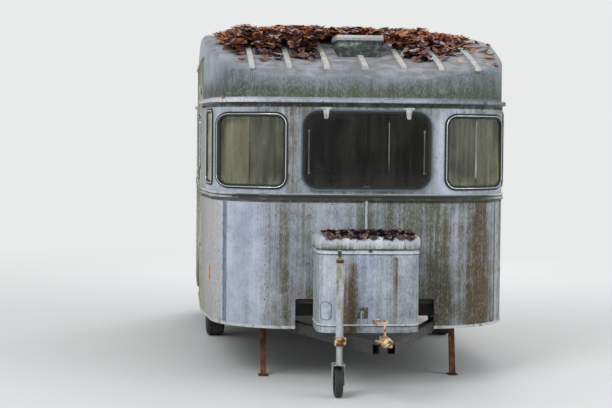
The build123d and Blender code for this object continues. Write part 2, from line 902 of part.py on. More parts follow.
# Coupling head with its ball socket, shaft and lever, and the handbrake lever
head_y = arm_nose_y - head_ahead
socket_radius = ball_radius + 0.4
shell_top = Pos(0, head_y, coupling_z) * Sphere(ball_radius + socket_wall)
shell_body = rod_z(0, head_y, ball_radius + socket_wall, coupling_z - 24, coupling_z)
head_solid = shell_top + shell_body
head_solid = head_solid & block(-far, far, -far, far, coupling_z - 24, far)
neck = block(-24, 24, head_y, arm_nose_y + 20, rail_low_z + 8, coupling_z + 22)
head_solid += neck
flange_plate = block(-52, 52, arm_nose_y - 80, arm_nose_y + 20, rail_low_z + 8, rail_low_z + 16)
head_solid += flange_plate
head_solid -= Pos(0, head_y, coupling_z) * Sphere(socket_radius)
head_solid -= rod_z(0, head_y, socket_radius, coupling_z - 60, coupling_z)
save("coupling_head", head_solid)
lever_stem = bar((0, arm_nose_y - 40, coupling_z + 22), (0, arm_nose_y - 40, coupling_z + 128), 12, 12, (0, 1, 0))
lever_grip = rod_x(arm_nose_y - 40, coupling_z + 126, 8, -78, 34)
save("coupling_lever", lever_stem + lever_grip)

# Axle: rubber-sprung beam with trailing arms and stub spindles
beam_y = axle_y - axle_ahead
beam_top_z = rail_low_z
beam_half = track_half - 118
beam = block(
    -beam_half, beam_half, beam_y - axle_size / 2, beam_y + axle_size / 2, beam_top_z - axle_size, beam_top_z
)
arm_plate_x = beam_half
trail_arm = bar(
    (arm_plate_x + 12, beam_y, beam_top_z - axle_size / 2),
    (arm_plate_x + 12, axle_y, tyre_radius),
    24,
    62,
)
trail_arm += rod_x(beam_y, beam_top_z - axle_size / 2, 40, arm_plate_x, arm_plate_x + 24)
trail_arm += rod_x(axle_y, tyre_radius, 34, arm_plate_x, arm_plate_x + 24)
trail_arm += rod_x(axle_y, tyre_radius, spindle_radius, arm_plate_x + 24, track_half + 30)
trail_arm += rod_x(axle_y, tyre_radius, 110, arm_plate_x + 24, arm_plate_x + 30)
axle = beam + both_sides(trail_arm)
save("axle", axle)


# Wheels: steel rims with a dished disc, and tyres
def revolved(points, x):
    """Turn a closed outline of (radius, offset) pairs about the axle, at a place along X."""
    face = make_face(Polyline(*points, close=True))
    turned = revolve(face, axis=Axis.Y, revolution_arc=360)
    return Pos(x, axle_y, tyre_radius) * Rot(0, 0, -90) * turned


rim_outer = [(178, -60), (166, -55), (165, -34), (146, -22), (146, 16), (165, 30), (166, 55), (178, 60)]
rim_sheet = 4
rim_back = [(r - rim_sheet, w) for r, w in reversed(rim_outer)]
disc_face = [(40, 36), (66, 36), (92, 47), (144, 14)]
disc_back = [(r, w - 5) for r, w in reversed(disc_face)]
hub_profile = [
    (spindle_radius + run_fit, -82),
    (96, -82),
    (96, -34),
    (60, -30),
    (60, 0),
    (48, 6),
    (48, 36),
    (40, 54),
    (20, 60),
    (0, 61),
    (0, 40),
    (spindle_radius + run_fit, 40),
]
half_tyre = tyre_wide / 2
tyre_profile = [
    (rim_radius + 1, -48),
    (181, -57),
    (200, -half_tyre + 8),
    (232, -half_tyre),
    (262, -half_tyre + 4),
    (282, -62),
    (289, -52),
    (tyre_radius, -34),
    (283, -32),
    (283, -26),
    (tyre_radius, -24),
    (tyre_radius, -4),
    (283, -3),
    (283, 3),
    (tyre_radius, 4),
    (tyre_radius, 24),
    (283, 26),
    (283, 32),
    (tyre_radius, 34),
    (289, 52),
    (282, 62),
    (262, half_tyre - 4),
    (232, half_tyre),
    (200, half_tyre - 8),
    (181, 57),
    (rim_radius + 1, 48),
]
rim_solid_fill = [(0, -60)] + rim_outer + [(0, 60)]


def wheel(side):
    """Rim and tyre of one side; the dish faces outwards."""
    rim = revolved(rim_outer + rim_back, 0) + revolved(disc_face + disc_back, 0)
    rim += revolved(hub_profile, 0)
    for turn in range(8):
        angle = radians(turn * 45)
        hole = rod_x(axle_y + 116 * cos(angle), tyre_radius + 116 * sin(angle), 12, 0, 80)
        rim -= hole
    tyre = revolved(tyre_profile, 0) - revolved(rim_solid_fill, 0)
    rim = Pos(track_half, 0, 0) * rim
    tyre = Pos(track_half, 0, 0) * tyre
    if side < 0:
        return mirror_x(rim), mirror_x(tyre)
    return rim, tyre


for name, side in (("left", -1), ("right", 1)):
    rim, tyre = wheel(side)
    save(f"rim_{name}", rim)
    save(f"tyre_{name}", tyre)


# Corner steadies, lowered to the ground
def steady_leg():
    """Leg and foot at the right-hand front corner."""
    pivot = Vector(steady_x, steady_y, steady_pivot_z)
    foot = Vector(steady_x, steady_y - steady_lean, foot_thick)
    tip = foot
    leg = bar(tuple(pivot), tuple(tip), leg_wide, leg_deep, (0, 1, 0))
    leg += rod_x(steady_y, steady_pivot_z, leg_deep / 2, steady_x - leg_wide / 2, steady_x + leg_wide / 2)
    inside = bar(
        tuple(pivot + (tip - pivot) * 0.12), tuple(tip), leg_wide - 2 * leg_wall, leg_deep * 2, (0, 1, 0)
    )
    inside = Pos(0, leg_deep - leg_wall, 0) * inside
    leg -= inside
    leg &= block(-far, far, -far, far, foot_thick, far)
    pad = block(
        steady_x - foot_wide / 2,
        steady_x + foot_wide / 2,
        steady_y - steady_lean - foot_long / 2,
        steady_y - steady_lean + foot_long / 2,
        0,
        foot_thick,
    )
    leg += pad
    leg -= rod_x(steady_y, steady_pivot_z, steady_pin_radius + run_fit, 0, 2 * steady_x)
    return leg


leg_right = steady_leg()
steady_rows = [
    ("front_right", leg_right),
    ("front_left", mirror_x(leg_right)),
    ("rear_right", mirror_y(leg_right)),
    ("rear_left", mirror_y(mirror_x(leg_right))),
]
for name, leg in steady_rows:
    save(f"steady_{name}", leg)

# Locker on the drawbar: an open-topped box with a lid hinged at the rear
locker_rear_y = locker_front_y + locker_deep
locker_centre_y = (locker_front_y + locker_rear_y) / 2


def locker_face(grow):
    """Plan of the locker: round front corners, square rear ones, grown all round."""
    x_low = locker_x - locker_wide / 2 - grow
    x_high = locker_x + locker_wide / 2 + grow
    front = locker_front_y - grow
    rear = locker_rear_y + grow
    radius = locker_round + grow
    square = Pos((x_low + x_high) / 2, (front + rear) / 2) * Rectangle(x_high - x_low, rear - front)
    corners = square.vertices().group_by(Axis.Y)[0]
    return fillet(corners, radius)


locker = slab(locker_face(0), locker_low_z, locker_high_z)
locker -= slab(locker_face(-locker_wall), locker_low_z + 12, locker_high_z)
locker_bead_places = (locker_high_z - 32, locker_low_z + 51)
for z in locker_bead_places:
    locker += slab(locker_face(4) - locker_face(0), z - 5, z + 5)
lid_low_z = locker_high_z + 1
lid_axis_y = locker_rear_y + lid_lap + barrel_radius
lid_axis_z = lid_low_z - 14
lid = slab(locker_face(lid_lap), lid_low_z - 6, lid_low_z + lid_high)
lid = fillet(lid.edges().group_by(Axis.Z)[-1], 34)
lid_inside = slab(locker_face(lid_lap - 4), lid_low_z - 6, lid_low_z + lid_high - 5)
lid_inside = fillet(lid_inside.edges().group_by(Axis.Z)[-1], 30)
lid -= lid_inside
for x in locker_hinge_places:
    x += locker_x
    fixed, middle, bore = barrels(
        x, lid_axis_y, lid_axis_z, barrel_radius, lid_pin_radius, hinge_half, barrel_middle
    )
    strap = block(
        x - hinge_half, x + hinge_half, locker_rear_y, lid_axis_y, lid_axis_z - 5, lid_axis_z
    )
    strap -= block(
        x - barrel_middle - barrel_gap,
        x + barrel_middle + barrel_gap,
        lid_axis_y - barrel_radius - 1.5,
        lid_axis_y + 1,
        lid_axis_z - 6,
        lid_axis_z + 1,
    )
    locker += strap + fixed
    lug = block(
        x - barrel_middle, x + barrel_middle, lid_axis_y - barrel_radius, lid_axis_y, lid_axis_z, lid_low_z
    )
    lid += (lug + middle) - bore
save("locker_body", locker)
save("locker_lid", lid)

# Locker fittings: latch, little flap, vent with its rod
latch_x = locker_x + 2
latch_high_z = locker_high_z - 11
latch = block(
    latch_x - 11, latch_x + 11, locker_front_y - 9, locker_front_y, latch_high_z - 15, latch_high_z
)
flap_x = locker_x - locker_wide / 2 + 52
flap_z = locker_low_z + 144
flap = prism_y(flap_x, flap_z, 66, 118, 20, locker_front_y - 60, locker_centre_y)
flap &= slab(locker_face(4) - locker_face(0), locker_low_z, locker_high_z)
vent_x = locker_x - 52
vent_z = locker_low_z + 131
vent_low_z = locker_low_z + 70
vent = prism_y(vent_x, vent_z, 84, 72, 6, locker_front_y - 60, locker_centre_y)
vent &= slab(locker_face(3) - locker_face(0), vent_low_z, locker_high_z)
save("locker_fittings", latch, flap, vent)

# Jockey wheel: clamp and outer tube on the left arm, sliding tube, fork and wheel
tube_bore = jockey_inner_radius + run_fit
outer_low_z = 340
outer_tube = rod_z(jockey_x, jockey_y, jockey_tube_radius, outer_low_z, jockey_top_z)
outer_tube -= rod_z(jockey_x, jockey_y, tube_bore, outer_low_z - 1, jockey_top_z - 6)
arm_x_there = -(arm_notch_x + arm_slope * jockey_y)
clamp = rod_z(jockey_x, jockey_y, jockey_tube_radius + 7, arm_low_z + 6, rail_low_z - 6)
clamp += block(
    jockey_x, arm_x_there - arm_wide / 2 + 6, jockey_y - 14, jockey_y + 14, arm_low_z + 10, rail_low_z - 10
)
clamp -= rod_z(jockey_x, jockey_y, jockey_tube_radius, 0, far)
clamp -= both_sides(
    bar((arm_nose_x, arm_nose_y, arm_middle_z), (arm_rear_x, arm_rear_y, arm_middle_z), arm_wide, arm_high)
)
crank_z = jockey_top_z + 46
crank = rod_z(jockey_x, jockey_y, 9, jockey_top_z, crank_z + 2)
crank += block(jockey_x - 8, jockey_x + 8, jockey_y - 8, jockey_y + 70, crank_z, crank_z + 8)
crank += rod_z(jockey_x, jockey_y + 60, 9, crank_z - 50, crank_z + 2)
save("jockey_outer_tube", outer_tube + crank)
save("jockey_clamp", clamp)

fork_top_z = 2 * jockey_wheel_radius + 16
inner_tube = rod_z(jockey_x, jockey_y, jockey_inner_radius, fork_top_z + 12, jockey_top_z - 230)
swivel_bore = 9
swivel_fit = swivel_bore + run_fit
inner_tube -= rod_z(jockey_x, jockey_y, swivel_fit, 0, fork_top_z + 60)
save("jockey_inner_tube", inner_tube)
cheek_x = jockey_wheel_wide / 2 + 6
fork = block(
    jockey_x - cheek_x - 5,
    jockey_x + cheek_x + 5,
    jockey_y - 26,
    jockey_y + 30 + jockey_trail,
    fork_top_z,
    fork_top_z + 6,
)
fork += rod_z(jockey_x, jockey_y, jockey_inner_radius + 4, fork_top_z, fork_top_z + 11)
fork += rod_z(jockey_x, jockey_y, swivel_bore, fork_top_z, fork_top_z + 50)
wheel_centre_y = jockey_y + jockey_trail
for low_x in (jockey_x - cheek_x - 5, jockey_x + cheek_x):
    fork += block(
        low_x, low_x + 5, wheel_centre_y - 24, wheel_centre_y + 24, jockey_wheel_radius - 22, fork_top_z + 3
    )
jockey_pin_radius = 8
fork += rod_x(
    wheel_centre_y, jockey_wheel_radius, jockey_pin_radius, jockey_x - cheek_x - 9, jockey_x + cheek_x + 9
)
save("jockey_fork", fork)
half_jockey = jockey_wheel_wide / 2
jockey_profile = [
    (jockey_pin_radius + run_fit, -half_jockey),
    (28, -half_jockey),
    (28, -12),
    (64, -8),
    (68, -half_jockey + 2),
    (92, -half_jockey + 4),
    (jockey_wheel_radius, -half_jockey + 14),
    (jockey_wheel_radius, half_jockey - 14),
    (92, half_jockey - 4),
    (68, half_jockey - 2),
    (64, 8),
    (28, 12),
    (28, half_jockey),
    (jockey_pin_radius + run_fit, half_jockey),
]
small_wheel = revolve(make_face(Polyline(*jockey_profile, close=True)), axis=Axis.Y, revolution_arc=360)
small_wheel = Pos(jockey_x, wheel_centre_y, jockey_wheel_radius) * Rot(0, 0, -90) * small_wheel
save("jockey_wheel", small_wheel)

# Inside: end benches with cushions, table, kitchen unit, wardrobe, curtains
inside_face = plan_face(wall + 2)
bench_top = slab(inside_face, seat_front_z - board, seat_front_z)
bench_top &= block(-far, far, -far, seat_deep, 0, far)
bench_front = slab(inside_face, floor_z, seat_front_z - board)
bench_front &= block(-far, far, seat_deep - board, seat_deep, 0, far)
bench = bench_top + bench_front
save("benches", bench, mirror_y(bench))
cushion_face = plan_face(wall + 12)
cushion_slab = slab(cushion_face, seat_front_z + soft_gap, seat_front_z + cushion_high)
cushions = []
cushion_split = 340
cushion_rows = [
    (-half_width, -cushion_split),
    (-cushion_split, cushion_split),
    (cushion_split, half_width),
]
for x_low, x_high in cushion_rows:
    part = cushion_slab & block(x_low + cushion_gap, x_high - cushion_gap, -far, seat_deep - 4, 0, far)
    cushions.extend([part, mirror_y(part)])
save("cushions", *cushions)
table_z = seat_front_z + 300
table_thick = 22
table_half = 330
table_front_y = seat_deep + 90
table_rear_y = table_front_y + 550
table_y = (table_front_y + table_rear_y) / 2
table_top = block(-table_half, table_half, table_front_y, table_rear_y, table_z - table_thick, table_z)
table_leg = rod_z(0, table_y, 25, floor_z, table_z - table_thick)
table_leg += rod_z(0, table_y, 110, floor_z, floor_z + 8)
save("table", table_top + table_leg)


def cabinet(x_low, x_high, y_low, y_high, z_high):
    """A cupboard of boards: hollow, with a plinth."""
    body = block(x_low, x_high, y_low, y_high, floor_z, z_high)
    return body - block(
        x_low + board, x_high - board, y_low + board, y_high - board, floor_z + board, z_high - board
    )


inner_x = half_width - wall - 2
kitchen_deep = 480
kitchen_front_y = table_rear_y + 40
kitchen_rear_y = axle_y - wheel_box_half - 10
kitchen_high_z = floor_z + 655
kitchen = cabinet(inner_x - kitchen_deep, inner_x, kitchen_front_y, kitchen_rear_y, kitchen_high_z)
save("kitchen_unit", kitchen)
wardrobe_deep = 520
wardrobe_front_y = axle_y + wheel_box_half + 60
wardrobe_rear_y = body_length - joint_y - wall
wardrobe_high_z = side_top_z - 130
wardrobe = cabinet(
    -inner_x, -inner_x + wardrobe_deep, wardrobe_front_y, wardrobe_rear_y, wardrobe_high_z
)
save("wardrobe", wardrobe)
curtain_ring = band(wall + curtain_gap, wall + curtain_gap + curtain_thick, curtain_low_z, curtain_high_z)
curtain = curtain_ring & block(500, far, -far, 860, 0, far)
curtains = [curtain, mirror_x(curtain)]
curtains.extend([mirror_y(piece) for piece in list(curtains)])
save("curtains", *curtains)
rail_ring = band(wall, wall + curtain_gap + curtain_thick, curtain_high_z + soft_gap, curtain_high_z + 14)
curtain_rail = rail_ring & block(480, far, -far, 880, 0, far)
save("curtain_rails", all_corners(curtain_rail))
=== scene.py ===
# %% [markdown]
# # A small old touring caravan, dressed in Blender
#
# The solids come from CAD and are the fixed frame of this scene. Blender gives them their
# finishes and adds what CAD leaves out: bright filler in the window rubbers, cloth, tread,
# screws, fallen leaves. All numbers are metres, in the frame of the CAD: X to the right as
# seen from the drawbar, Y to the rear, Z up from the ground.

import random
from math import atan2, cos, hypot, pi, radians, sin, sqrt

import bpy
from mathutils import Euler, Matrix, Vector
from mathutils.bvhtree import BVHTree


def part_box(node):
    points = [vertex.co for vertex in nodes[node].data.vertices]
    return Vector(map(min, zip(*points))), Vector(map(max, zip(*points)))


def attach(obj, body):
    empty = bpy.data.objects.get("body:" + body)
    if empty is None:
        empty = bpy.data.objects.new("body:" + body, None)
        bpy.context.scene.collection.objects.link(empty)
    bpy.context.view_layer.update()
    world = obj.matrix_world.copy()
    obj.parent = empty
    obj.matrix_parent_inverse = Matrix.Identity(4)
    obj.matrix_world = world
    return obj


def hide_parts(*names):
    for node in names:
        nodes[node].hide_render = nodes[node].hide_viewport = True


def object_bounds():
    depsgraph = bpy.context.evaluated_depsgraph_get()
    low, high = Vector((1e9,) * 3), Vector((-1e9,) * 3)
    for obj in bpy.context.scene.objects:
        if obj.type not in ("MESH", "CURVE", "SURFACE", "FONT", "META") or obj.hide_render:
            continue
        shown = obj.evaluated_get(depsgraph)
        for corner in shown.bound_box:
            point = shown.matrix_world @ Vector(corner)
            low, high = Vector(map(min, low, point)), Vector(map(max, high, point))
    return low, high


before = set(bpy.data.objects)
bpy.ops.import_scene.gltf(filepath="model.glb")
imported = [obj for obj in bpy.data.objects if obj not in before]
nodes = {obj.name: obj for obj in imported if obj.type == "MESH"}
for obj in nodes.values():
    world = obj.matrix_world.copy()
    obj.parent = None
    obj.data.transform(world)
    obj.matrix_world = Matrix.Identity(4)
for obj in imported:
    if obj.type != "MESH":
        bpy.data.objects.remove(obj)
cad_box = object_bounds()
print("box of the CAD:", [[round(v, 3) for v in corner] for corner in cad_box])

# %% [markdown]
# ## The camera
#
# The photograph was taken from about ten metres in front of the caravan with a short
# telephoto lens, a little from the left and slightly downwards. The lens and the place were
# worked out from the outline of the body, so the frame here is the photograph's frame. The
# camera leans by half a degree, which is why the gutter runs down to the right.

# %% Camera
def into_scene(name, data):
    """A new object of the scene."""
    thing = bpy.data.objects.new(name, data)
    bpy.context.scene.collection.objects.link(thing)
    return thing


camera_place = Vector((-1.281, -11.768, 1.703))
yaw, pitch, lean = radians(4.97), radians(2.75), radians(0.56)
lens_mm, sensor_mm = 87.3, 36.0

ahead = Vector((sin(yaw) * cos(pitch), cos(yaw) * cos(pitch), -sin(pitch)))
level_right = Vector((cos(yaw), -sin(yaw), 0))
level_up = level_right.cross(ahead)
right = level_right * cos(lean) + level_up * sin(lean)
up = level_up * cos(lean) - level_right * sin(lean)

camera = into_scene("camera", bpy.data.cameras.new("camera"))
camera.data.lens = lens_mm
camera.data.sensor_width = sensor_mm
camera.data.clip_end = 200
turn = Matrix((right, up, -ahead)).transposed().to_4x4()
camera.matrix_world = Matrix.Translation(camera_place) @ turn
bpy.context.scene.camera = camera
print("camera looks along", [round(v, 3) for v in ahead])

# %% [markdown]
# ## Small tools for materials
#
# Colours are easiest to write as the hex values that a painter's chart or a web page gives.
# Those are sRGB, and Blender's shaders want linear light, so one function turns them. One
# other function adds every node, whatever its kind, with its settings and what feeds it.

# %% Colour and node helpers
def linear(code):
    """An sRGB hex value, such as "d8d9d4", as the linear colour that a shader wants."""
    parts = [int(code[i : i + 2], 16) / 255 for i in (0, 2, 4)]
    return tuple(c / 12.92 if c <= 0.04045 else ((c + 0.055) / 1.055) ** 2.4 for c in parts) + (1,)


def feed(tree, node, feeds):
    """Give a node's inputs values, hex colours, or links from other nodes' outputs."""
    for place, value in feeds.items():
        if isinstance(value, bpy.types.NodeSocket):
            tree.links.new(value, node.inputs[place])
        else:
            node.inputs[place].default_value = linear(value) if isinstance(value, str) else value


def add(tree, kind, *values, feeds=None, stops=None, out=0, **settings):
    """Add one shader node and give one of its outputs, or with out=None the node itself.

    kind: such as "TexNoise", or "Math ADD" and "Mix RGBA" with what it does. values fill the
    inputs in order, feeds by name or number; stops are a ramp's; settings are the node's own.
    """
    kind, _, mode = kind.partition(" ")
    node = tree.nodes.new("ShaderNode" + kind)
    if mode:
        settings["data_type" if kind == "Mix" else "operation"] = mode
    for name, value in settings.items():
        setattr(node, name, value)
    feed(tree, node, {**dict(enumerate(values)), **(feeds or {})})
    if stops:
        elements = node.color_ramp.elements
        elements.remove(elements[1])
        for index, (position, value) in enumerate(stops):
            stop = elements[0] if index == 0 else elements.new(position)
            stop.position = position
            stop.color = linear(value) if isinstance(value, str) else (value, value, value, 1)
    return node if out is None else node.outputs[out]


def start_material(name):
    """A new material: itself, its node tree, and each point's place in metres."""
    material = bpy.data.materials.new(name)
    material.use_nodes = True
    tree = material.node_tree
    place = add(tree, "TexCoord", out="Object")
    return material, tree, place


def finish_with(names, material):
    """Give CAD nodes a material."""
    for name in names:
        for slot in nodes[name].material_slots:
            slot.material = material
    print(material.name, "on", ", ".join(names))


# %% [markdown]
# ## Weathered white paint and moulded plastic
#
# The front is a white moulding, gone dull and bluish, with dirt that ran down it for decades.
# Rain carries algae and rust downwards, so the stains are long and thin: noise patterns
# squeezed across and stretched along Z. Where they gather is written as short lists of
# places and strengths, one list for each kind of dirt, because on the real thing each drip
# starts at a certain screw, seam or window corner. Painting the stains into an image would
# be the other way, but a list of places is easier to change and needs no picture.

# %% Small helpers for patterns
def spread(places, low, high):
    """Places along an axis, in metres, as the 0 to 1 positions of a ramp."""
    return [((place - low) / (high - low), strength) for place, strength in places]


def dress(tree, **inputs):
    """Feed the material's shader; in the name of an input, _ stands for a space."""
    feeds = {name.replace("_", " "): value for name, value in inputs.items()}
    feed(tree, tree.nodes["Principled BSDF"], feeds)


def squeezed(tree, place, across, shift=0.0, along=1.2):
    """Noise drawn out along Z: across is how many patches lie in a metre of width."""
    drawn = add(tree, "Mapping", feeds={0: place, 1: (shift, 3.1, 0), 3: (across, across, along)})
    return add(
        tree, "TexNoise", feeds={"Vector": drawn, "Scale": 1.0, "Detail": 4.0, "Roughness": 0.55},
    )


# %% [markdown]
# One function makes every weathered white surface. A run is a film, mostly of dirt and in a
# few places of painted shade, whose mean strength comes from its lists, and two streak
# patterns, 50 and 17 mm wide, make it thicker and thinner. The lists for width and height
# are added and one is taken away, so that a run with a peak grows wider as it goes down, as
# rust does below a screw. On top come single lines at a height, of grime, of painted shadow
# under lips and of painted highlight on beads, and specks of black mould about 8 mm across.

# %% A white finish with runs of dirt
def weathered(names, name, white, shade, axis, span, runs, specks=(), bands=(), cover=None, ribs=()):
    """White paint or gel coat on CAD nodes. Each run: colour, heights, places, fade, contrast."""
    material, tree, place = start_material(name)
    split = add(tree, "SeparateXYZ", place, out=None)
    along = add(tree, "MapRange", split.outputs[axis], *span)
    # Mottling about a hand wide, as old gel coat has
    patches = add(
        tree, "TexNoise", feeds={"Vector": place, "Scale": 4.5, "Detail": 6.0, "Roughness": 0.62},
    )
    colour = add(tree, "ValToRGB", patches, stops=[(0.36, shade), (0.58, white)])
    broken = add(
        tree, "TexNoise", feeds={"Vector": place, "Scale": 11.0, "Detail": 8.0, "Roughness": 0.55},
    )
    blotch = add(tree, "MapRange", broken, 0.34, 0.66, 0.72, 1.28)
    # A thin veil of dust drawn downwards
    dirt_and_shade = add(tree, "MapRange", squeezed(tree, place, 48.0), 0.48, 0.72, 0.0, 0.17)
    dirt_and_shade = add(tree, "Math MULTIPLY", dirt_and_shade, blotch)
    colour = add(tree, "Mix RGBA", feeds={0: dirt_and_shade, 6: colour, 7: "85877f"}, out=2)
    for index, (tint, low, high, places, heights, contrast) in enumerate(runs):
        density = add(tree, "ValToRGB", along, stops=spread(places, *span))
        height = add(tree, "MapRange", split.outputs["Z"], low, high)
        fade = add(tree, "ValToRGB", height, stops=heights)
        strength = add(tree, "Math ADD", density, fade)
        strength = add(tree, "Math MAXIMUM", add(tree, "Math ADD", strength, -1.0), 0.0)
        wide = squeezed(tree, place, 20.0, 7.3 * index, 0.9)
        narrow = squeezed(tree, place, 58.0, 3.7 * index, 1.3)
        both = add(tree, "Math MULTIPLY_ADD", wide, 0.5, add(tree, "Math MULTIPLY", narrow, 0.5))
        streak = add(tree, "MapRange", both, 0.42, 0.58, 1 - contrast, 1 + contrast)
        # Nothing grows above or below the run's own height range
        inside = add(tree, "Math COMPARE", height, 0.5, 0.499)
        mask = add(tree, "Math MULTIPLY", add(tree, "Math MULTIPLY", strength, streak), blotch)
        mask = add(tree, "Math MULTIPLY", add(tree, "Math MINIMUM", mask, 0.93), inside)
        colour = add(tree, "Mix RGBA", feeds={0: mask, 6: colour, 7: tint}, out=2)
        dirt_and_shade = add(tree, "Math MAXIMUM", dirt_and_shade, mask)
    for tint, low, high, strength in bands:
        # A line at a height, a little uneven, with the patches of the film: grime, painted shadow under a
        # lip, painted highlight on a bead
        there = add(tree, "Math COMPARE", split.outputs["Z"], (low + high) / 2, (high - low) / 2)
        patchy = add(tree, "MapRange", broken, 0.3, 0.5, 0.7 * strength, strength)
        mask = add(tree, "Math MULTIPLY", there, patchy)
        colour = add(tree, "Mix RGBA", feeds={0: mask, 6: colour, 7: tint}, out=2)
    # Grit 8 mm wide and 20 mm high, with washed flecks between, and more where the film is thick
    grain = squeezed(tree, place, 125.0, 1.7, 50.0)
    thick = add(tree, "MapRange", dirt_and_shade, 0.0, 0.6, 0.30, 1.0)
    grit = add(tree, "Math MULTIPLY", add(tree, "MapRange", grain, 0.52, 0.68, 0.0, 0.62), thick)
    fleck = add(tree, "Math MULTIPLY", add(tree, "MapRange", grain, 0.46, 0.34, 0.0, 0.22), thick)
    colour = add(tree, "Mix RGBA", feeds={0: grit, 6: colour, 7: "38372d"}, out=2)
    colour = add(tree, "Mix RGBA", feeds={0: fleck, 6: colour, 7: "c3c8ce"}, out=2)
    if specks:
        cells = add(
            tree, "TexVoronoi", feeds={"Vector": place, "Scale": 42.0, "Randomness": 1.0}, out=None,
        )
        by_chance = add(tree, "SeparateXYZ", cells.outputs["Color"], out=None)
        draw = by_chance.outputs["X"]
        reach = add(tree, "MapRange", by_chance.outputs["Y"], 0.0, 1.0, 0.08, 0.27)
        dots = add(tree, "Math SUBTRACT", reach, cells.outputs["Distance"])
        dots = add(tree, "MapRange", dots, 0.0, 0.07)
        share = add(tree, "ValToRGB", along, stops=spread(specks, *span))
        kept = add(tree, "Math LESS_THAN", draw, add(tree, "Math MULTIPLY", share, blotch))
        mask = add(tree, "Math MULTIPLY", add(tree, "Math MULTIPLY", dots, kept), 0.85)
        colour = add(tree, "Mix RGBA", feeds={0: mask, 6: colour, 7: "24221c"}, out=2)
    if cover:
        # Dirt that settles on what faces up
        facing = add(tree, "NewGeometry", out="Normal")
        upward = add(tree, "SeparateXYZ", facing, out="Z")
        layer = add(tree, "Math ADD", patches, upward)
        layer = add(tree, "MapRange", layer, cover[1], cover[2], 0.0, 0.85)
        tone = add(tree, "ValToRGB", broken, stops=[(0.4, cover[0]), (0.62, cover[3])])
        colour = add(tree, "Mix RGBA", feeds={0: layer, 6: colour, 7: tone}, out=2)
        dirt_and_shade = add(tree, "Math MAXIMUM", dirt_and_shade, layer)
        # No rain reaches the underside, so it has kept its cream tone
        below = add(tree, "MapRange", upward, -0.25, -0.45, 0.0, 0.85)
        colour = add(tree, "Mix RGBA", feeds={0: below, 6: colour, 7: "c6c1ae"}, out=2)
    if ribs:
        # The tops of the ribs are painted a patchy pale cream
        stops, foot, top = [], 0.0225, 0.0195
        for rib in ribs:
            stops += [(rib - foot, 0.0), (rib - top, 1.0), (rib + top, 1.0), (rib + foot, 0.0)]
        on_rib = add(tree, "ValToRGB", along, stops=spread(stops, *span))
        high_up = add(tree, "MapRange", split.outputs["Z"], 2.138, 2.142)
        rib_top_share = add(tree, "MapRange", broken, 0.60, 0.42, 0.30, 0.90)
        on_rib = add(tree, "Math MULTIPLY", add(tree, "Math MULTIPLY", on_rib, high_up), rib_top_share)
        colour = add(tree, "Mix RGBA", feeds={0: on_rib, 6: colour, 7: "d0cec3"}, out=2)
    dress(tree, Base_Color=colour, Roughness=add(tree, "MapRange", dirt_and_shade, 0.0, 0.8, 0.38, 0.85))
    # Shallow waves 0.3 m long, as thin panels have, and the grit of the dirt
    waves = add(
        tree, "TexNoise", feeds={"Vector": place, "Scale": 3.2, "Detail": 1.0, "Roughness": 0.55},
    )
    waves = add(tree, "Bump", feeds={"Strength": 0.3, "Distance": 0.012, "Height": waves})
    relief = {"Strength": 0.3, "Distance": 0.0012, "Height": dirt_and_shade, "Normal": waves}
    dress(tree, Normal=add(tree, "Bump", feeds=relief))
    finish_with(names, material)


# %% [markdown]
# On the front, a grey green film covers the right half and the zone behind the locker, an
# ochre run comes down near the right corner, and olive streaks with black specks come down
# left of the locker. Beside the locker a dark olive film, darker towards the bottom, is
# partly grime and partly painted shadow of the locker. The left corner is cleaner and a
# little warmer in tone. The pillars beside the windows are greyer towards the top. Under the
# gutter lies a dark line, sealant in the gap with painted shadow under the flange, and under
# the belt moulding a line of painted shadow.

# %% Front wall
half_width = 1.10
across = (-1.13, 1.13)
even = [(0.0, 1.0), (1.0, 1.0)]
front_cream = [(-1.12, 0.85), (-1.0, 0.80), (-0.975, 0.50), (-0.95, 0.0), (1.0, 0.0), (1.12, 0.5)]
front_green = [
    (-1.12, 0.15), (-0.95, 0.08), (-0.74, 0.14), (-0.66, 0.38), (-0.58, 0.62), (-0.50, 0.42),
    (-0.40, 0.62), (-0.30, 0.30), (-0.15, 0.34), (-0.05, 0.66), (0.12, 0.62), (0.22, 0.80),
    (0.38, 0.84), (0.52, 0.94), (0.60, 0.66), (0.67, 0.50), (0.76, 0.66), (0.88, 0.50), (1.0, 0.60),
    (1.12, 0.60),
]
green_heights = [(0.0, 1.2), (0.12, 1.08), (0.5, 1.0), (1.0, 0.96)]
# Dark olive beside the locker, darker towards the bottom: partly grime, partly painted shadow of the locker
front_grime_and_locker_shade = [
    (-0.70, 0.0), (-0.58, 0.20), (-0.46, 0.10), (-0.38, 0.45), (-0.30, 0.0), (0.26, 0.10), (0.40, 0.66),
    (0.52, 0.84), (0.58, 0.66), (0.64, 0.26), (0.74, 0.44), (0.90, 0.24), (1.02, 0.0),
]
deep_heights = [(0.0, 1.05), (0.35, 0.92), (0.7, 0.56), (1.0, 0.36)]
front_ochre = [
    (-0.70, 0.0), (-0.62, 0.34), (-0.55, 0.44), (-0.47, 0.28), (-0.40, 0.10), (-0.06, 0.0),
    (0.03, 0.40), (0.08, 0.12), (0.20, 0.40), (0.26, 0.14), (0.46, 0.26), (0.56, 0.46), (0.63, 0.22),
    (0.70, 0.40), (0.735, 0.95), (0.76, 1.16), (0.85, 1.16), (0.88, 0.62), (0.905, 0.30), (0.96, 0.10),
]
ochre_heights = [(0.0, 0.80), (0.05, 1.0), (0.4, 0.94), (0.75, 0.98), (1.0, 0.88)]
pillar_film = [
    (-1.12, 0.25), (-1.0, 0.12), (-0.80, 0.35), (-0.54, 0.52), (-0.48, 0.66), (-0.43, 0.50),
    (0.0, 0.60), (0.42, 0.55), (0.47, 0.25), (0.54, 0.16), (0.80, 0.45), (1.0, 0.45), (1.12, 0.35),
]
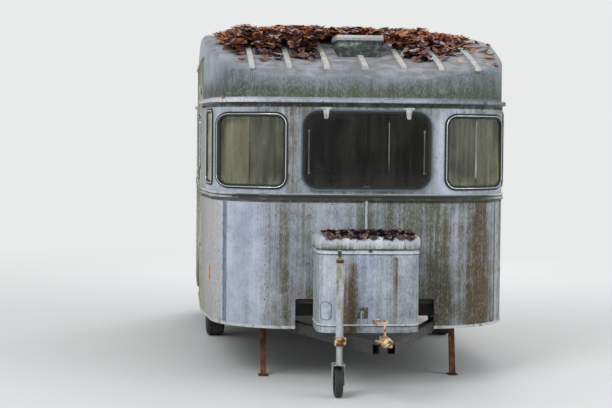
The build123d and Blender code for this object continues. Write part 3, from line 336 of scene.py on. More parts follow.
pillar_heights = [(0.0, 0.95), (0.15, 0.92), (0.80, 1.0), (0.93, 1.15), (1.0, 1.3)]
pillar_brown = [
    (-0.56, 0.0), (-0.49, 0.55), (-0.45, 0.25), (-0.40, 0.0), (0.40, 0.0), (0.46, 0.30), (0.50, 0.0),
]
# Where the walls turn to the sides they are as yellowed as the side walls
flank_dust = [(-1.12, 0.72), (-1.088, 0.66), (-1.06, 0.0), (1.06, 0.0), (1.088, 0.66), (1.12, 0.72)]
front_specks = [
    (-1.12, 0.06), (-0.76, 0.05), (-0.68, 0.34), (-0.55, 0.48), (-0.42, 0.40), (-0.34, 0.12),
    (0.30, 0.12), (0.50, 0.24), (0.70, 0.10), (1.12, 0.08),
]
# Under the gutter a dark line: sealant in the gap, with painted shadow under the flange
gutter_seal_and_shadow_line = ("14120c", 1.876, 1.907, 0.97)
# Under the belt moulding a line of painted shadow
belt_shadow_line = ("22211a", 1.228, 1.246, 0.85)
weathered(
    ["front_wall"], "weathered white gel coat, front",
    "bcc4d5", "9ca6ba", "X", across,
    [
        ("bfb9b8", 0.37, 1.25, front_cream, even, 0.15),
        ("5f6553", 0.37, 1.25, front_green, green_heights, 0.45),
        ("383a2a", 0.37, 1.25, front_grime_and_locker_shade, deep_heights, 0.40),
        ("4b3a1c", 0.37, 1.25, front_ochre, ochre_heights, 0.36),
        ("62675b", 1.29, 1.90, pillar_film, pillar_heights, 0.40),
        ("5d4f38", 1.29, 1.90, pillar_brown, even, 0.60),
        ("9b9c88", 0.37, 1.90, flank_dust, even, 0.30),
    ],
    specks=front_specks,
    bands=[gutter_seal_and_shadow_line, belt_shadow_line],
)

# %% [markdown]
# The rear has the same finish with fewer runs. The sides are aluminium sheet, whose enamel
# has turned a pale yellowish cream: the narrow band at the left edge of the photograph.

# %% Rear and sides
rear_film = [
    (-1.12, 0.40), (-0.7, 0.25), (-0.4, 0.55), (0.1, 0.30), (0.5, 0.60), (0.8, 0.35), (1.12, 0.45),
]
weathered(
    ["rear_wall"], "weathered white gel coat, rear",
    "c0c7d0", "a6aeb9", "X", across,
    [
        ("5f6553", 0.37, 1.25, rear_film, green_heights, 0.45),
        ("5c4727", 0.37, 1.25, front_ochre[1::2], ochre_heights, 0.65),
        ("62675b", 1.29, 1.90, pillar_film, pillar_heights, 0.40),
        ("9b9c88", 0.37, 1.90, flank_dust, even, 0.30),
    ],
    specks=[(-1.12, 0.15), (1.12, 0.15)],
    bands=[gutter_seal_and_shadow_line, belt_shadow_line],
)

side_span = (-0.70, 1.80)
side_film = [
    (-0.68, 0.30), (-0.52, 0.50), (-0.1, 0.25), (0.25, 0.45), (0.66, 0.55), (1.05, 0.30), (1.35, 0.50),
    (1.75, 0.40),
]
side_heights = [
    (0.0, 1.25), (0.10, 1.0), (0.30, 0.82), (0.46, 1.1), (0.50, 0.85), (0.85, 0.9), (1.0, 1.2),
]
weathered(
    ["side_wall_left", "side_wall_right", "door_leaf"], "weathered cream enamel on aluminium sheet",
    "c2c2b4", "a6a799", "Y", side_span,
    [
        ("666b4f", 0.37, 2.25, side_film, side_heights, 0.45),
        ("5f4c2e", 0.37, 2.25, side_film[::2], side_heights, 0.70),
    ],
    specks=[(-0.68, 0.12), (1.75, 0.12)],
    bands=[belt_shadow_line],
)

# %% [markdown]
# The strips over the joints are one CAD node: grey blue corner beads, one bright strip down
# the middle of the front, yellowed strips over the side joints and a pale lip round the
# bottom edge. So their colour goes by place. Across each corner bead, a pale line on its
# outer side is painted highlight and the darker bluish band beside it is painted shade.
# Patches of grime lie over all of them.

# %% Cover strips
material, tree, place = start_material("painted aluminium cover strips, grimy at their edges")
split = add(tree, "SeparateXYZ", place, out=None)
from_middle = add(tree, "Math ABSOLUTE", split.outputs["X"])
bead_x = half_width - 0.142
# On the corner beads, the tones across them: a painted highlight on the outer side, painted shade on the
# bluish middle
strip_tones_and_bead_light = [
    (0.0, "b9bec4"), (0.008, "a7acb2"), (0.0095, "2a2822"), (0.014, "2a2822"), (0.02, "9aa1ab"),
    (bead_x - 0.016, "9aa1ab"), (bead_x - 0.010, "7f879a"), (bead_x - 0.004, "61697e"),
    (bead_x + 0.005, "6f778b"), (bead_x + 0.009, "b7bdcb"), (bead_x + 0.016, "b5b3b8"),
    (1.02, "b3b2a8"), (1.07, "aaa88c"), (1.13, "b1ae90"),
]
base = add(tree, "ValToRGB", from_middle, stops=strip_tones_and_bead_light)
right_corner = add(tree, "MapRange", split.outputs["X"], 0.90, 0.91, 0.0, 0.85)
base = add(tree, "Mix RGBA", feeds={0: right_corner, 6: base, 7: "a6a59c"}, out=2)
patches = add(
    tree, "TexNoise", feeds={"Vector": place, "Scale": 26.0, "Detail": 7.0, "Roughness": 0.55},
)
lip = add(tree, "MapRange", split.outputs["Z"], 0.400, 0.385)
base = add(tree, "Mix RGBA", feeds={0: lip, 6: base, 7: "b9bcbc"}, out=2)
grime = add(tree, "MapRange", patches, 0.50, 0.72, 0.0, 0.75)
dress(
    tree, Base_Color=add(tree, "Mix RGBA", feeds={0: grime, 6: base, 7: "4a4c3d"}, out=2),
    Roughness=add(tree, "MapRange", patches, 0.3, 0.7, 0.4, 0.75),
)
finish_with(["cover_strips"], material)

# %% [markdown]
# ## The roof cap
#
# The roof is one large moulding. Its tall front is bluish grey with a soft band of olive
# algae just above the gutter, dark patches near both corners and a paler flange below. The
# slope above the break faces up, so a thin layer of dust lies on it, and that goes by which
# way the surface faces. The tops of the ribs are painted a patchy cream white.

# %% Roof finish
rib_places = (-0.780, -0.525, -0.265, 0.0, 0.265, 0.525, 0.780)
roof_olive = [
    (-1.12, 0.70), (-0.8, 0.80), (-0.4, 0.86), (0.0, 0.78), (0.4, 0.82), (0.8, 0.74), (1.12, 0.8),
]
olive_heights = [
    (0.0, 0.35), (0.045, 0.35), (0.06, 0.98), (0.22, 1.0), (0.36, 0.72), (0.55, 0.40), (1.0, 0.35),
]
roof_moss = [(-1.12, 0.2), (-0.6, 0.38), (-0.1, 0.50), (0.3, 0.42), (0.7, 0.45), (1.12, 0.3)]
roof_dark = [
    (-1.12, 0.10), (-1.03, 0.22), (-0.94, 0.62), (-0.84, 0.70), (-0.76, 0.40), (-0.60, 0.20),
    (-0.1, 0.08), (0.30, 0.22), (0.55, 0.46), (0.78, 0.66), (0.95, 0.56), (1.12, 0.4),
]
dark_heights = [(0.0, 1.0), (0.55, 1.0), (0.8, 0.8), (1.0, 0.5)]
flange_clean = [
    (-1.12, 0.95), (-0.84, 0.88), (-0.66, 0.40), (-0.4, 0.20), (0.4, 0.20), (0.55, 0.0), (1.12, 0.0),
]
flange_dark = [(-1.12, 0.0), (0.35, 0.0), (0.60, 0.40), (0.95, 0.55), (1.12, 0.50)]
weathered(
    ["roof"], "weathered glass fibre moulding, roof",
    "8e99a5", "6d7985", "X", across,
    [
        ("454a3f", 1.93, 2.20, roof_olive, olive_heights, 0.28),
        ("525c3d", 1.93, 2.20, roof_moss, olive_heights, 0.60),
        ("4b4f4a", 1.95, 2.16, roof_dark, dark_heights, 0.40),
        ("d2d3dc", 1.905, 1.944, flange_clean, even, 0.15),
        ("4d5252", 1.905, 1.944, flange_dark, even, 0.30),
    ],
    specks=[(-1.12, 0.20), (-0.8, 0.32), (0.0, 0.24), (0.6, 0.30), (1.12, 0.20)],
    # The same dark line under the gutter: sealant, with painted shadow under the flange
    bands=[("14110b", 1.88, 1.910, 0.97)],
    cover=("7d7a78", 0.90, 1.45, "a8a8b0"),
    ribs=rib_places,
)

# %% Hatch: white lid, with a dark line of shadow and grime along its lower edge
lid_low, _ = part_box("hatch_lid")
weathered(
    ["hatch_lid"], "white moulded plastic, roof hatch lid",
    "c3c5ca", "a3a6aa", "X", across,
    [("7d8174", 2.33, 2.375, roof_moss, even, 0.35)],
    bands=[("1d1f1a", lid_low[2] - 0.001, lid_low[2] + 0.012, 0.97)],
    cover=("8b8c84", 1.35, 1.9, "aaaba8"),
)

# %% [markdown]
# The curb below the hatch lid is a milky plastic that algae has grown into: almost black and
# dark green in blotches about three centimetres across, with one paler patch in the upper
# left where the sun reaches it.

# %% Milky plastic with algae
material, tree, place = start_material("translucent moulded plastic with algae")
split = add(tree, "SeparateXYZ", place, out=None)
blotch = add(tree, "TexNoise", feeds={"Vector": place, "Scale": 30.0, "Detail": 8.0, "Roughness": 0.72})
left_part = add(tree, "MapRange", split.outputs["X"], 0.04, -0.03)
upper_part = add(tree, "MapRange", split.outputs["Z"], lid_low[2] - 0.05, lid_low[2] - 0.02)
paler = add(tree, "Math MULTIPLY", add(tree, "Math MULTIPLY", left_part, upper_part), 0.16)
level = add(tree, "Math ADD", blotch, paler)
stops = [(0.38, "10140f"), (0.48, "232c28"), (0.57, "404b49"), (0.68, "78837f"), (0.80, "9fa9a6")]
dress(
    tree, Base_Color=add(tree, "ValToRGB", level, stops=stops),
    Roughness=add(tree, "MapRange", blotch, 0.3, 0.7, 0.6, 0.35),
    Subsurface_Weight=0.1, Subsurface_Radius=(0.01, 0.012, 0.008),
)
dress(tree, Normal=add(tree, "Bump", feeds={"Strength": 0.3, "Distance": 0.002, "Height": blotch}))
finish_with(["hatch_curb"], material)

# %% [markdown]
# ## The drawbar locker
#
# The locker is a moulding like the front, but bluer and cleaner, with two long rust runs
# below the places where its fittings used to be screwed. A brown one right of the jockey
# tube starts narrow and widens as it goes down, and a thin one runs down right of the
# middle. A bluish grey film from the middle to the right is painted shade; the left, where
# the light falls, stays bright. Two raised beads go round the body, each with a line of
# painted shadow under it and a painted highlight on it, and a dark line of painted shadow
# with grime lies under the lid's edge.

# %% Locker finish
locker_span = (-0.40, 0.34)
# Painted shade: a bluish grey film over the locker, thin on its left where the light falls, thicker towards
# the middle and right
locker_painted_shade = [
    (-0.38, 0.55), (-0.35, 0.18), (-0.24, 0.18), (-0.16, 0.50), (-0.05, 0.55), (0.10, 0.48),
    (0.20, 0.38), (0.30, 0.45),
]
locker_rust = [
    (-0.248, 0.0), (-0.220, 0.36), (-0.198, 0.66), (-0.172, 0.95), (-0.142, 1.08), (-0.124, 0.96),
    (-0.106, 0.48), (-0.086, 0.16), (-0.062, 0.0),
]
rust_core = [(-0.176, 0.0), (-0.156, 0.50), (-0.136, 0.85), (-0.124, 0.40), (-0.116, 0.0)]
rust_heights = [
    (0.0, 1.0), (0.35, 0.92), (0.60, 0.70), (0.74, 0.52), (0.80, 0.35), (0.82, 0.10), (1.0, 0.05),
]
thin_rust = [(0.095, 0.0), (0.118, 0.15), (0.130, 0.95), (0.146, 0.95), (0.158, 0.2), (0.19, 0.0)]
thin_heights = [(0.0, 0.62), (0.4, 0.78), (0.7, 0.95), (0.86, 1.0), (0.89, 0.1), (1.0, 0.0)]
locker_green = [(-0.38, 0.55), (-0.28, 0.25), (-0.15, 0.36), (0.0, 0.30), (0.30, 0.42)]
# Under each bead a line of painted shadow, and on it a painted highlight
bead_shadow_and_highlight_lines = []
for bead_z in (0.925, 0.456):
    bead_shadow_and_highlight_lines.append(("3d3f3c", bead_z - 0.014, bead_z - 0.005, 0.75))
    bead_shadow_and_highlight_lines.append(("dfe4ee", bead_z - 0.004, bead_z + 0.006, 0.6))
weathered(
    ["locker_body"], "weathered white gel coat, locker",
    "d8dfee", "b9c3d8", "X", locker_span,
    [
        ("7883a2", 0.40, 0.93, locker_painted_shade, even, 0.30),
        ("6d7460", 0.40, 0.97, locker_green, green_heights, 0.40),
        ("584426", 0.40, 0.97, locker_rust, rust_heights, 0.55),
        ("3b3322", 0.40, 0.97, rust_core, rust_heights, 0.50),
        ("593d24", 0.40, 0.97, thin_rust, thin_heights, 0.40),
    ],
    specks=[(-0.38, 0.12), (0.30, 0.10)],
    # The dark line at the top, under the lid's edge, is painted shadow with grime
    bands=[*bead_shadow_and_highlight_lines, ("24241d", 0.940, 0.96, 0.85)],
)
lid_moss = [(-0.40, 0.85), (-0.1, 0.72), (0.32, 0.85)]
weathered(
    ["locker_lid"], "weathered white gel coat, locker lid",
    "dde1ea", "bcc2cc", "X", locker_span,
    [("5a5e4b", 0.945, 1.04, lid_moss, [(0.0, 1.0), (0.16, 0.92), (0.45, 0.52), (1.0, 0.30)], 0.3)],
    specks=[(-0.38, 0.25), (0.30, 0.25)],
    # A dark line along the lid's lower edge: painted shadow with grime
    bands=[("24241d", 0.940, 0.9535, 0.9)],
    cover=("554f42", 1.3, 1.8, "6e675a"),
)

# %% [markdown]
# ## Everything else that came from CAD
#
# Most other finishes are soft patches of two or three close tones: faded rubber, black paint
# that rusts through, dull zinc, aged plastic, board. One function makes them all, from a
# list of tones, the size of the patches and how dull the finish is. Wood and cloth use it
# too, with their patches drawn out along the grain.

# %% Finishes of soft patches
def mottled(name, tones, scale, rough, metal=0.0, relief=0.0006, drawn=(1, 1, 1), over=(), rings=()):
    """Patches of close tones. Over lie others: a colour, scale and start each; rings: by height."""
    material, tree, place = start_material(name)
    stretched = add(tree, "Mapping", feeds={0: place, 3: drawn})
    patches = add(
        tree, "TexNoise", feeds={"Vector": stretched, "Scale": scale, "Detail": 8.0, "Roughness": 0.62},
    )
    colour = add(tree, "ValToRGB", patches, stops=tones)
    bare = patches
    for tint, size, start in over:
        mask = add(
            tree, "MapRange",
            add(
                tree, "TexNoise",
                feeds={"Vector": place, "Scale": size, "Detail": 9.0, "Roughness": 0.66},
            ),
            start, start + 0.07, 0.0, 0.9,
        )
        colour = add(tree, "Mix RGBA", feeds={0: mask, 6: colour, 7: tint}, out=2)
        bare = add(tree, "Math MULTIPLY_ADD", mask, 0.5, bare)
    for tint, low, high in rings:
        height = add(tree, "SeparateXYZ", place, out="Z")
        there = add(tree, "Math COMPARE", height, (low + high) / 2, (high - low) / 2)
        colour = add(
            tree, "Mix RGBA", feeds={0: add(tree, "Math MULTIPLY", there, 0.92), 6: colour, 7: tint},
            out=2,
        )
    dress(
        tree, Base_Color=colour, Roughness=add(tree, "MapRange", bare, 0.3, 0.8, *rough),
        Metallic=metal,
    )
    dress(tree, Normal=add(tree, "Bump", feeds={"Strength": 0.6, "Distance": relief, "Height": bare}))
    return material


def finished(names, *description, **more):
    """A finish of soft patches, straight onto CAD nodes."""
    material = mottled(*description, **more)
    finish_with(names, material)
    return material


# Faded rubber looks soft and greenish black, with a dull bloom
rubber = finished(
    ["window_rubbers", "door_rubber", "belt_insert"],
    "weathered black rubber", [(0.35, "0b0d0b"), (0.55, "151814"), (0.72, "23271f")], 30.0, (0.55, 0.85),
    over=[("3a412e", 14.0, 0.64)],
)
finished(
    ["curtain_rails"],
    "dull aluminium curtain rail", [(0.34, "8d9190"), (0.5, "a8adae"), (0.68, "c0c5c7")],
    9.0, (0.38, 0.7), metal=0.8,
)
finished(
    ["centre_window_fittings"],
    "yellowed white plastic", [(0.36, "7d8179"), (0.52, "a2a5a3"), (0.68, "b8bbbb")], 26.0, (0.4, 0.65),
    over=[("5d6250", 40.0, 0.62)], rings=[("e6e9dc", 1.40, 1.75)],
)
# Black paint that rust has lifted
finished(
    ["chassis", "drawbar", "axle"],
    "black painted steel with rust", [(0.35, "131416"), (0.55, "232425"), (0.72, "383633")], 16.0,
    (0.42, 0.8), metal=0.0, relief=0.001, over=[("55331e", 12.0, 0.56), ("7a4a26", 38.0, 0.64)],
)
rusty_steel = finished(
    [f"steady_{end}_{side}" for end in ("front", "rear") for side in ("left", "right")],
    "rusty steel", [(0.32, "2c1a11"), (0.46, "55311c"), (0.58, "7d4c2a"), (0.7, "94683f")], 24.0,
    (0.7, 0.95), metal=0.15, relief=0.0014,
)
coupling_metal = finished(
    ["coupling_head", "jockey_clamp"],
    "rusty steel with remains of cream paint",
    [(0.34, "2f1b11"), (0.42, "6b4122"), (0.49, "a5794a"), (0.54, "cbb892"), (0.64, "d6cfba")],
    34.0, (0.55, 0.9), metal=0.1, relief=0.0012,
)
jockey_metal = finished(
    ["jockey_outer_tube", "jockey_inner_tube", "jockey_fork"],
    "whitened zinc with rust", [(0.34, "807f6c"), (0.45, "9a9b92"), (0.54, "aeb3bb"), (0.68, "c3c8d1")],
    18.0, (0.4, 0.7), metal=0.1, relief=0.0008, drawn=(1, 1, 0.35),
    over=[("6c4524", 22.0, 0.62), ("2a2019", 48.0, 0.64)],
    rings=[("1d1a17", 0.913, 0.950), ("8a7a4c", 0.897, 0.913)],
)
finished(
    ["door_fittings", "door_hinge_knuckles"],
    "dull chromed handle and hinges", [(0.35, "8b8e8d"), (0.55, "b4b8b9"), (0.7, "cfd3d5")], 40.0,
    (0.22, 0.5), metal=0.85, over=[("6c4524", 30.0, 0.68)],
)
finished(
    ["wheel_boxes", "jockey_wheel"],
    "scuffed black plastic", [(0.35, "151617"), (0.55, "222324"), (0.7, "343534")], 60.0, (0.45, 0.75),
    relief=0.0005, over=[("4a463b", 20.0, 0.62)],
)
finished(
    ["number_plate"],
    "blank white reflective plate", [(0.35, "c6c7bd"), (0.6, "dadbd4")], 12.0, (0.3, 0.6),
    drawn=(1, 1, 0.4), over=[("757963", 9.0, 0.60)],
)
finished(
    ["rim_left", "rim_right"],
    "dull silver wheel paint with rust", [(0.35, "8f928f"), (0.55, "b1b4b1"), (0.7, "c6c8c5")], 20.0,
    (0.35, 0.7), metal=0.3, over=[("6c4524", 16.0, 0.58)],
)
# Grain runs along Y in the floor and the benches, upright in the furniture
finished(
    ["benches"],
    "birch plywood gone grey", [(0.36, "8a6d4a"), (0.52, "ab8a60"), (0.68, "bf9f74")], 30.0, (0.5, 0.8),
    drawn=(1, 0.08, 1), over=[("5d4a33", 6.0, 0.62)],
)
finished(
    ["floor"],
    "old floor board, black with damp at its edges", [(0.36, "1f1b17"), (0.52, "342c24"), (0.68, "4b4034")],
    14.0, (0.6, 0.9), drawn=(1, 0.2, 1),
)
finished(
    ["kitchen_unit", "wardrobe", "table"],
    "teak veneer", [(0.36, "5a3620"), (0.5, "7b4c2b"), (0.66, "956239")], 44.0, (0.3, 0.55),
    relief=0.0003, drawn=(1, 1, 0.07),
)

# %% [markdown]
# Three CAD nodes hold several small things at once, so their colour goes by place. The lamps
# are orange near the front and red at the rear. The locker's fittings are a white flap on
# the left corner, a dark slotted vent and a rusty latch under the lid.

# %% Lamps and locker fittings, coloured by place
material, tree, place = start_material("ribbed lamp plastic, orange and red")
split = add(tree, "SeparateXYZ", place, out=None)
rear_share = add(tree, "MapRange", split.outputs["Y"], 0.0, 0.1)
amber_part = add(tree, "MapRange", split.outputs["Z"], 0.632, 0.633)
fade = add(tree, "TexNoise", feeds={"Vector": place, "Scale": 35.0, "Detail": 5.0, "Roughness": 0.55})
orange = add(tree, "ValToRGB", fade, stops=[(0.35, "c9481a"), (0.65, "ec7a33")])
red = add(tree, "ValToRGB", fade, stops=[(0.35, "7c1414"), (0.65, "a82a22")])
rear_colour = add(tree, "Mix RGBA", feeds={0: amber_part, 6: red, 7: orange}, out=2)
colour = add(tree, "Mix RGBA", feeds={0: rear_share, 6: orange, 7: rear_colour}, out=2)
dress(
    tree, Base_Color=colour, Roughness=add(tree, "MapRange", fade, 0.4, 0.7, 0.15, 0.45),
    Coat_Weight=0.4,
)
ribbing = add(tree, "TexWave", feeds={"Vector": place, "Scale": 90.0}, bands_direction="X", out=1)
dress(tree, Normal=add(tree, "Bump", feeds={"Strength": 0.5, "Distance": 0.0012, "Height": ribbing}))
finish_with(["lamps"], material)

material, tree, place = start_material("locker flap, vent and latch")
split = add(tree, "SeparateXYZ", place, out=None)
patches = add(
    tree, "TexNoise", feeds={"Vector": place, "Scale": 24.0, "Detail": 7.0, "Roughness": 0.55},
)
white = add(tree, "ValToRGB", patches, stops=[(0.36, "8d96a4"), (0.58, "b1b9c7")])
dark = add(tree, "ValToRGB", patches, stops=[(0.38, "24261f"), (0.52, "4a4d41"), (0.66, "8a9091")])
rust = add(tree, "ValToRGB", patches, stops=[(0.36, "1f1510"), (0.64, "5f3c24")])
right_of_flap = add(tree, "MapRange", split.outputs["X"], -0.22, -0.21)
colour = add(tree, "Mix RGBA", feeds={0: right_of_flap, 6: white, 7: dark}, out=2)
colour = add(
    tree, "Mix RGBA",
    feeds={0: add(tree, "MapRange", split.outputs["Z"], 0.80, 0.81), 6: colour, 7: rust}, out=2,
)
dress(tree, Base_Color=colour, Roughness=add(tree, "MapRange", patches, 0.3, 0.7, 0.45, 0.75))
slats = add(tree, "TexWave", feeds={"Vector": place, "Scale": 36.0}, bands_direction="Z", out=1)
only_vent = add(tree, "Math MULTIPLY", slats, right_of_flap)
dress(tree, Normal=add(tree, "Bump", feeds={"Strength": 0.7, "Distance": 0.002, "Height": only_vent}))
finish_with(["locker_fittings"], material)

# %% [markdown]
# The belt moulding is white along its upper lip. Its lower part, round the groove of the
# missing insert, is nearly black, with grime and with painted shadow under the lip. At the
# corners rain runs over it, so it is paler there and shows two thin dark lines.

# %% Belt moulding, coloured by height
material, tree, place = start_material("painted aluminium belt moulding")
split = add(tree, "SeparateXYZ", place, out=None)
height = add(tree, "MapRange", split.outputs["Z"], 1.240, 1.300)
# The lower part nearly black: grime, and painted shadow under the lip
grimy = [
    (0.0, "2b2d27"), (0.66, "2b2d28"), (0.72, "54585a"), (0.78, "9aa1a3"), (0.9, "b4babd"),
    (1.0, "a3a9ab"),
]
washed = [
    (0.0, "33352e"), (0.20, "34362f"), (0.26, "a6a9ab"), (0.42, "b3b6b9"), (0.47, "3b3d37"),
    (0.58, "3b3d37"), (0.64, "b9bcc0"), (1.0, "c3c6cb"),
]
grime_and_shade_colour = add(tree, "ValToRGB", height, stops=grimy)
washed_colour = add(tree, "ValToRGB", height, stops=washed)
patches = add(
    tree, "TexNoise", feeds={"Vector": place, "Scale": 13.0, "Detail": 7.0, "Roughness": 0.55},
)
to_corner = add(
    tree, "Math ADD", add(tree, "Math ABSOLUTE", split.outputs["X"]),
    add(tree, "Math MULTIPLY", patches, 0.2),
)
colour = add(
    tree, "Mix RGBA",
    feeds={0: add(tree, "MapRange", to_corner, 0.96, 1.06), 6: grime_and_shade_colour, 7: washed_colour}, out=2,
)
algae = add(tree, "MapRange", patches, 0.54, 0.66, 0.0, 0.6)
dress(
    tree, Base_Color=add(tree, "Mix RGBA", feeds={0: algae, 6: colour, 7: "59634a"}, out=2),
    Roughness=add(tree, "MapRange", patches, 0.3, 0.7, 0.35, 0.75),
)
finish_with(["belt_moulding"], material)

# %% [markdown]
# ## Windows
#
# The corner and side windows are thin clear plastic, dulled by dust and algae that gather
# along their lower edges. The centre panes are smoked, and look nearly black against the
# dark inside. Both kinds let light through by their alpha, less where the dirt is. That is
# simpler than real refraction in sheets 4 mm thick, and looks much the same from here.

# %% Clear and smoked panes
def inset(tree, place, box, round_off):
    """How far inside a rounded rectangle that stands in X and Z a point lies."""
    split = add(tree, "SeparateXYZ", place, out=None)
    over = []
    for index, axis in ((0, "X"), (2, "Z")):
        middle, half = (box[0][index] + box[1][index]) / 2, (box[1][index] - box[0][index]) / 2
        away = add(tree, "Math ABSOLUTE", add(tree, "Math SUBTRACT", split.outputs[axis], middle))
        over.append(add(tree, "Math SUBTRACT", away, half - round_off))
    outer = [add(tree, "Math POWER", add(tree, "Math MAXIMUM", value, 0.0), 2.0) for value in over]
    corner = add(tree, "Math SQRT", add(tree, "Math ADD", *outer))
    straight = add(tree, "Math MINIMUM", add(tree, "Math MAXIMUM", *over), 0.0)
    return add(tree, "Math SUBTRACT", round_off, add(tree, "Math ADD", corner, straight))


wall_low, wall_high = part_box("side_wall_right")
body_middle_y = (wall_low[1] + wall_high[1]) / 2


def pane(name, tone, dirt_tone, clear, dirty, gloss, algae=0.0, closed=0.0, border=None):
    """A thin sheet seen through by its alpha: less clear where dirt has run down it."""
    material, tree, place = start_material(name)
    drawn = add(tree, "Mapping", feeds={0: place, 3: (22.0, 22.0, 2.2)})
    runs = add(
        tree, "TexNoise", feeds={"Vector": drawn, "Scale": 1.0, "Detail": 6.0, "Roughness": 0.55},
    )
    clouds = add(
        tree, "TexNoise", feeds={"Vector": place, "Scale": 5.0, "Detail": 6.0, "Roughness": 0.55},
    )
    height = add(tree, "SeparateXYZ", place, out="Z")
    low_edge = add(tree, "MapRange", height, 1.44, 1.32, 0.0, 0.16)
    top_edge = add(tree, "MapRange", height, 1.78, 1.85, 0.0, 0.10)
    level = add(tree, "Math MULTIPLY_ADD", runs, 0.5, add(tree, "Math MULTIPLY", clouds, 0.5))
    level = add(tree, "Math ADD", level, add(tree, "Math ADD", low_edge, top_edge))
    mask = add(tree, "MapRange", level, 0.44, 0.68)
    colour = add(tree, "ValToRGB", mask, stops=[(0.0, tone), (1.0, dirt_tone)])
    # A guess: green film where the panes turn away to the sides, partly algae and partly painted light that
    # stands in for the lit curtains behind
    sideways = add(tree, "Math ABSOLUTE", add(tree, "SeparateXYZ", place, out="X"))
    pane_film_and_light = add(
        tree, "MapRange", add(tree, "Math MULTIPLY_ADD", runs, 0.12, sideways), 0.97, 1.08, 0.0, algae,
    )
    pane_film_and_light = add(tree, "Math MULTIPLY", pane_film_and_light, add(tree, "MapRange", level, 0.40, 0.62, 0.25, 1.1))
    # and less of it on the windows of the flat sides
    lengthwise = add(tree, "SeparateXYZ", place, out="Y")
    from_centre = add(tree, "Math ABSOLUTE", add(tree, "Math SUBTRACT", lengthwise, body_middle_y))
    pane_film_and_light = add(tree, "Math MULTIPLY", pane_film_and_light, add(tree, "MapRange", from_centre, 1.25, 1.45, 0.30, 1.0))
    colour = add(tree, "Mix RGBA", feeds={0: pane_film_and_light, 6: colour, 7: "888c50"}, out=2)
    opaque = add(tree, "Math MAXIMUM", add(tree, "MapRange", mask, 0.0, 1.0, clear, dirty), pane_film_and_light)
    # A free choice: algae has closed the rear pane, so that no light shows through from behind
    grown = add(tree, "MapRange", lengthwise, 2.2, 2.3, 0.0, closed)
    colour = add(tree, "Mix RGBA", feeds={0: grown, 6: colour, 7: "24281c"}, out=2)
    opaque = add(tree, "Math MAXIMUM", opaque, grown)
    if border:
        # The rolled edge of the sheet catches light, and the seal behind it is black
        inward = inset(tree, place, *border)
        rim = add(
            tree, "ValToRGB", inward, stops=[(0.0, "5b6a70"), (0.009, "4a585c"), (0.012, "10110d")],
        )
        near = add(tree, "MapRange", inward, 0.032, 0.024)
        colour = add(tree, "Mix RGBA", feeds={0: near, 6: colour, 7: rim}, out=2)
        opaque = add(tree, "Math MAXIMUM", opaque, near)
    dress(
        tree, Base_Color=colour, Roughness=add(tree, "MapRange", mask, 0.0, 1.0, *gloss), Alpha=opaque,
    )
    dress(tree, Normal=add(tree, "Bump", feeds={"Strength": 0.2, "Distance": 0.002, "Height": clouds}))
    return material


# The pale green film on the sideways panes is partly algae, partly painted light
clear_pane = pane("clear plastic pane, dusty", "50544a", "83846c", 0.22, 0.56, (0.08, 0.45), algae=0.9)
finish_with(["window_glass", "door_glass"], clear_pane)
smoked_pane = pane(
    "smoked plastic pane, dusty", "060604", "24221a", 0.28, 0.66, (0.07, 0.35), closed=0.96,
    border=(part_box("centre_panes"), 0.118),
)
finish_with(["centre_panes"], smoked_pane)

# %% [markdown]
# ## Floor, backdrop and light
#
# A plain pale studio: one wide floor, pale surroundings that only the camera and mirrors
# see, and soft light at a level where white paint comes out white and no more. The floor
# turns into the colour of the surroundings far away, by place and not by camera, so no
# horizon shows from any side.

# %% Studio
pale = "e9eaea"
floor_mesh = bpy.data.meshes.new("studio_floor")
reach = 60.0
floor_mesh.from_pydata(
    [(-reach, -reach, 0), (reach, -reach, 0), (reach, reach, 0), (-reach, reach, 0)], [], [(0, 1, 2, 3)]
)
floor = into_scene("studio_floor", floor_mesh)
floor.location.z = -0.0005

material, tree, place = start_material("pale matt studio floor")
dress(tree, Base_Color=linear("dfe0e0"), Roughness=0.9)
flat_place = add(tree, "VectorMath MULTIPLY", place, (1, 1, 0))
distance = add(tree, "VectorMath LENGTH", flat_place, out="Value")
far_share = add(tree, "MapRange", distance, 2.6, 11.0, 0.0, 1.0, interpolation_type="SMOOTHSTEP")


def seen_directly(tree):
    """1 for rays that show the surroundings themselves, 0 for rays that carry light."""
    ray = add(tree, "LightPath", out=None).outputs
    either = add(tree, "Math MAXIMUM", ray["Is Camera Ray"], ray["Is Glossy Ray"])
    return add(tree, "Math MAXIMUM", either, ray["Is Transmission Ray"])


share = add(tree, "Math MULTIPLY", seen_directly(tree), far_share)
glow = add(tree, "Emission", linear(pale), 1.0)
matt = tree.nodes["Principled BSDF"].outputs[0]
mixed = add(tree, "MixShader", share, matt, glow)
tree.links.new(mixed, tree.nodes["Material Output"].inputs["Surface"])
floor_mesh.materials.append(material)

world = bpy.data.worlds.new("studio")
bpy.context.scene.world = world
world.use_nodes = True
tree = world.node_tree
light = add(tree, "Background", linear("eef1f4"), 0.62)
shown = add(tree, "Background", linear(pale), 1.0)
mixed = add(tree, "MixShader", seen_directly(tree), light, shown)
tree.links.new(mixed, tree.nodes["World Output"].inputs["Surface"])

lamp_rows = [
    # name, place, aimed at, side length, watts
    ("key_lamp", (-6.0, -9.0, 7.5), (0.0, -1.0, 1.2), 5.0, 620),
    ("fill_lamp", (7.5, -6.0, 5.0), (0.0, 0.0, 1.2), 5.0, 260),
    ("rear_lamp", (2.0, 9.0, 6.5), (0.0, 1.5, 1.4), 5.0, 420),
]
for name, place, target, side, watts in lamp_rows:
    lamp = bpy.data.lights.new(name, "AREA")
    lamp.size = side
    lamp.energy = watts
    holder = into_scene(name, lamp)
    holder.location = place
    holder.rotation_euler = (Vector(target) - Vector(place)).to_track_quat("-Z", "Y").to_euler()
print("studio:", len(lamp_rows), "soft lamps")

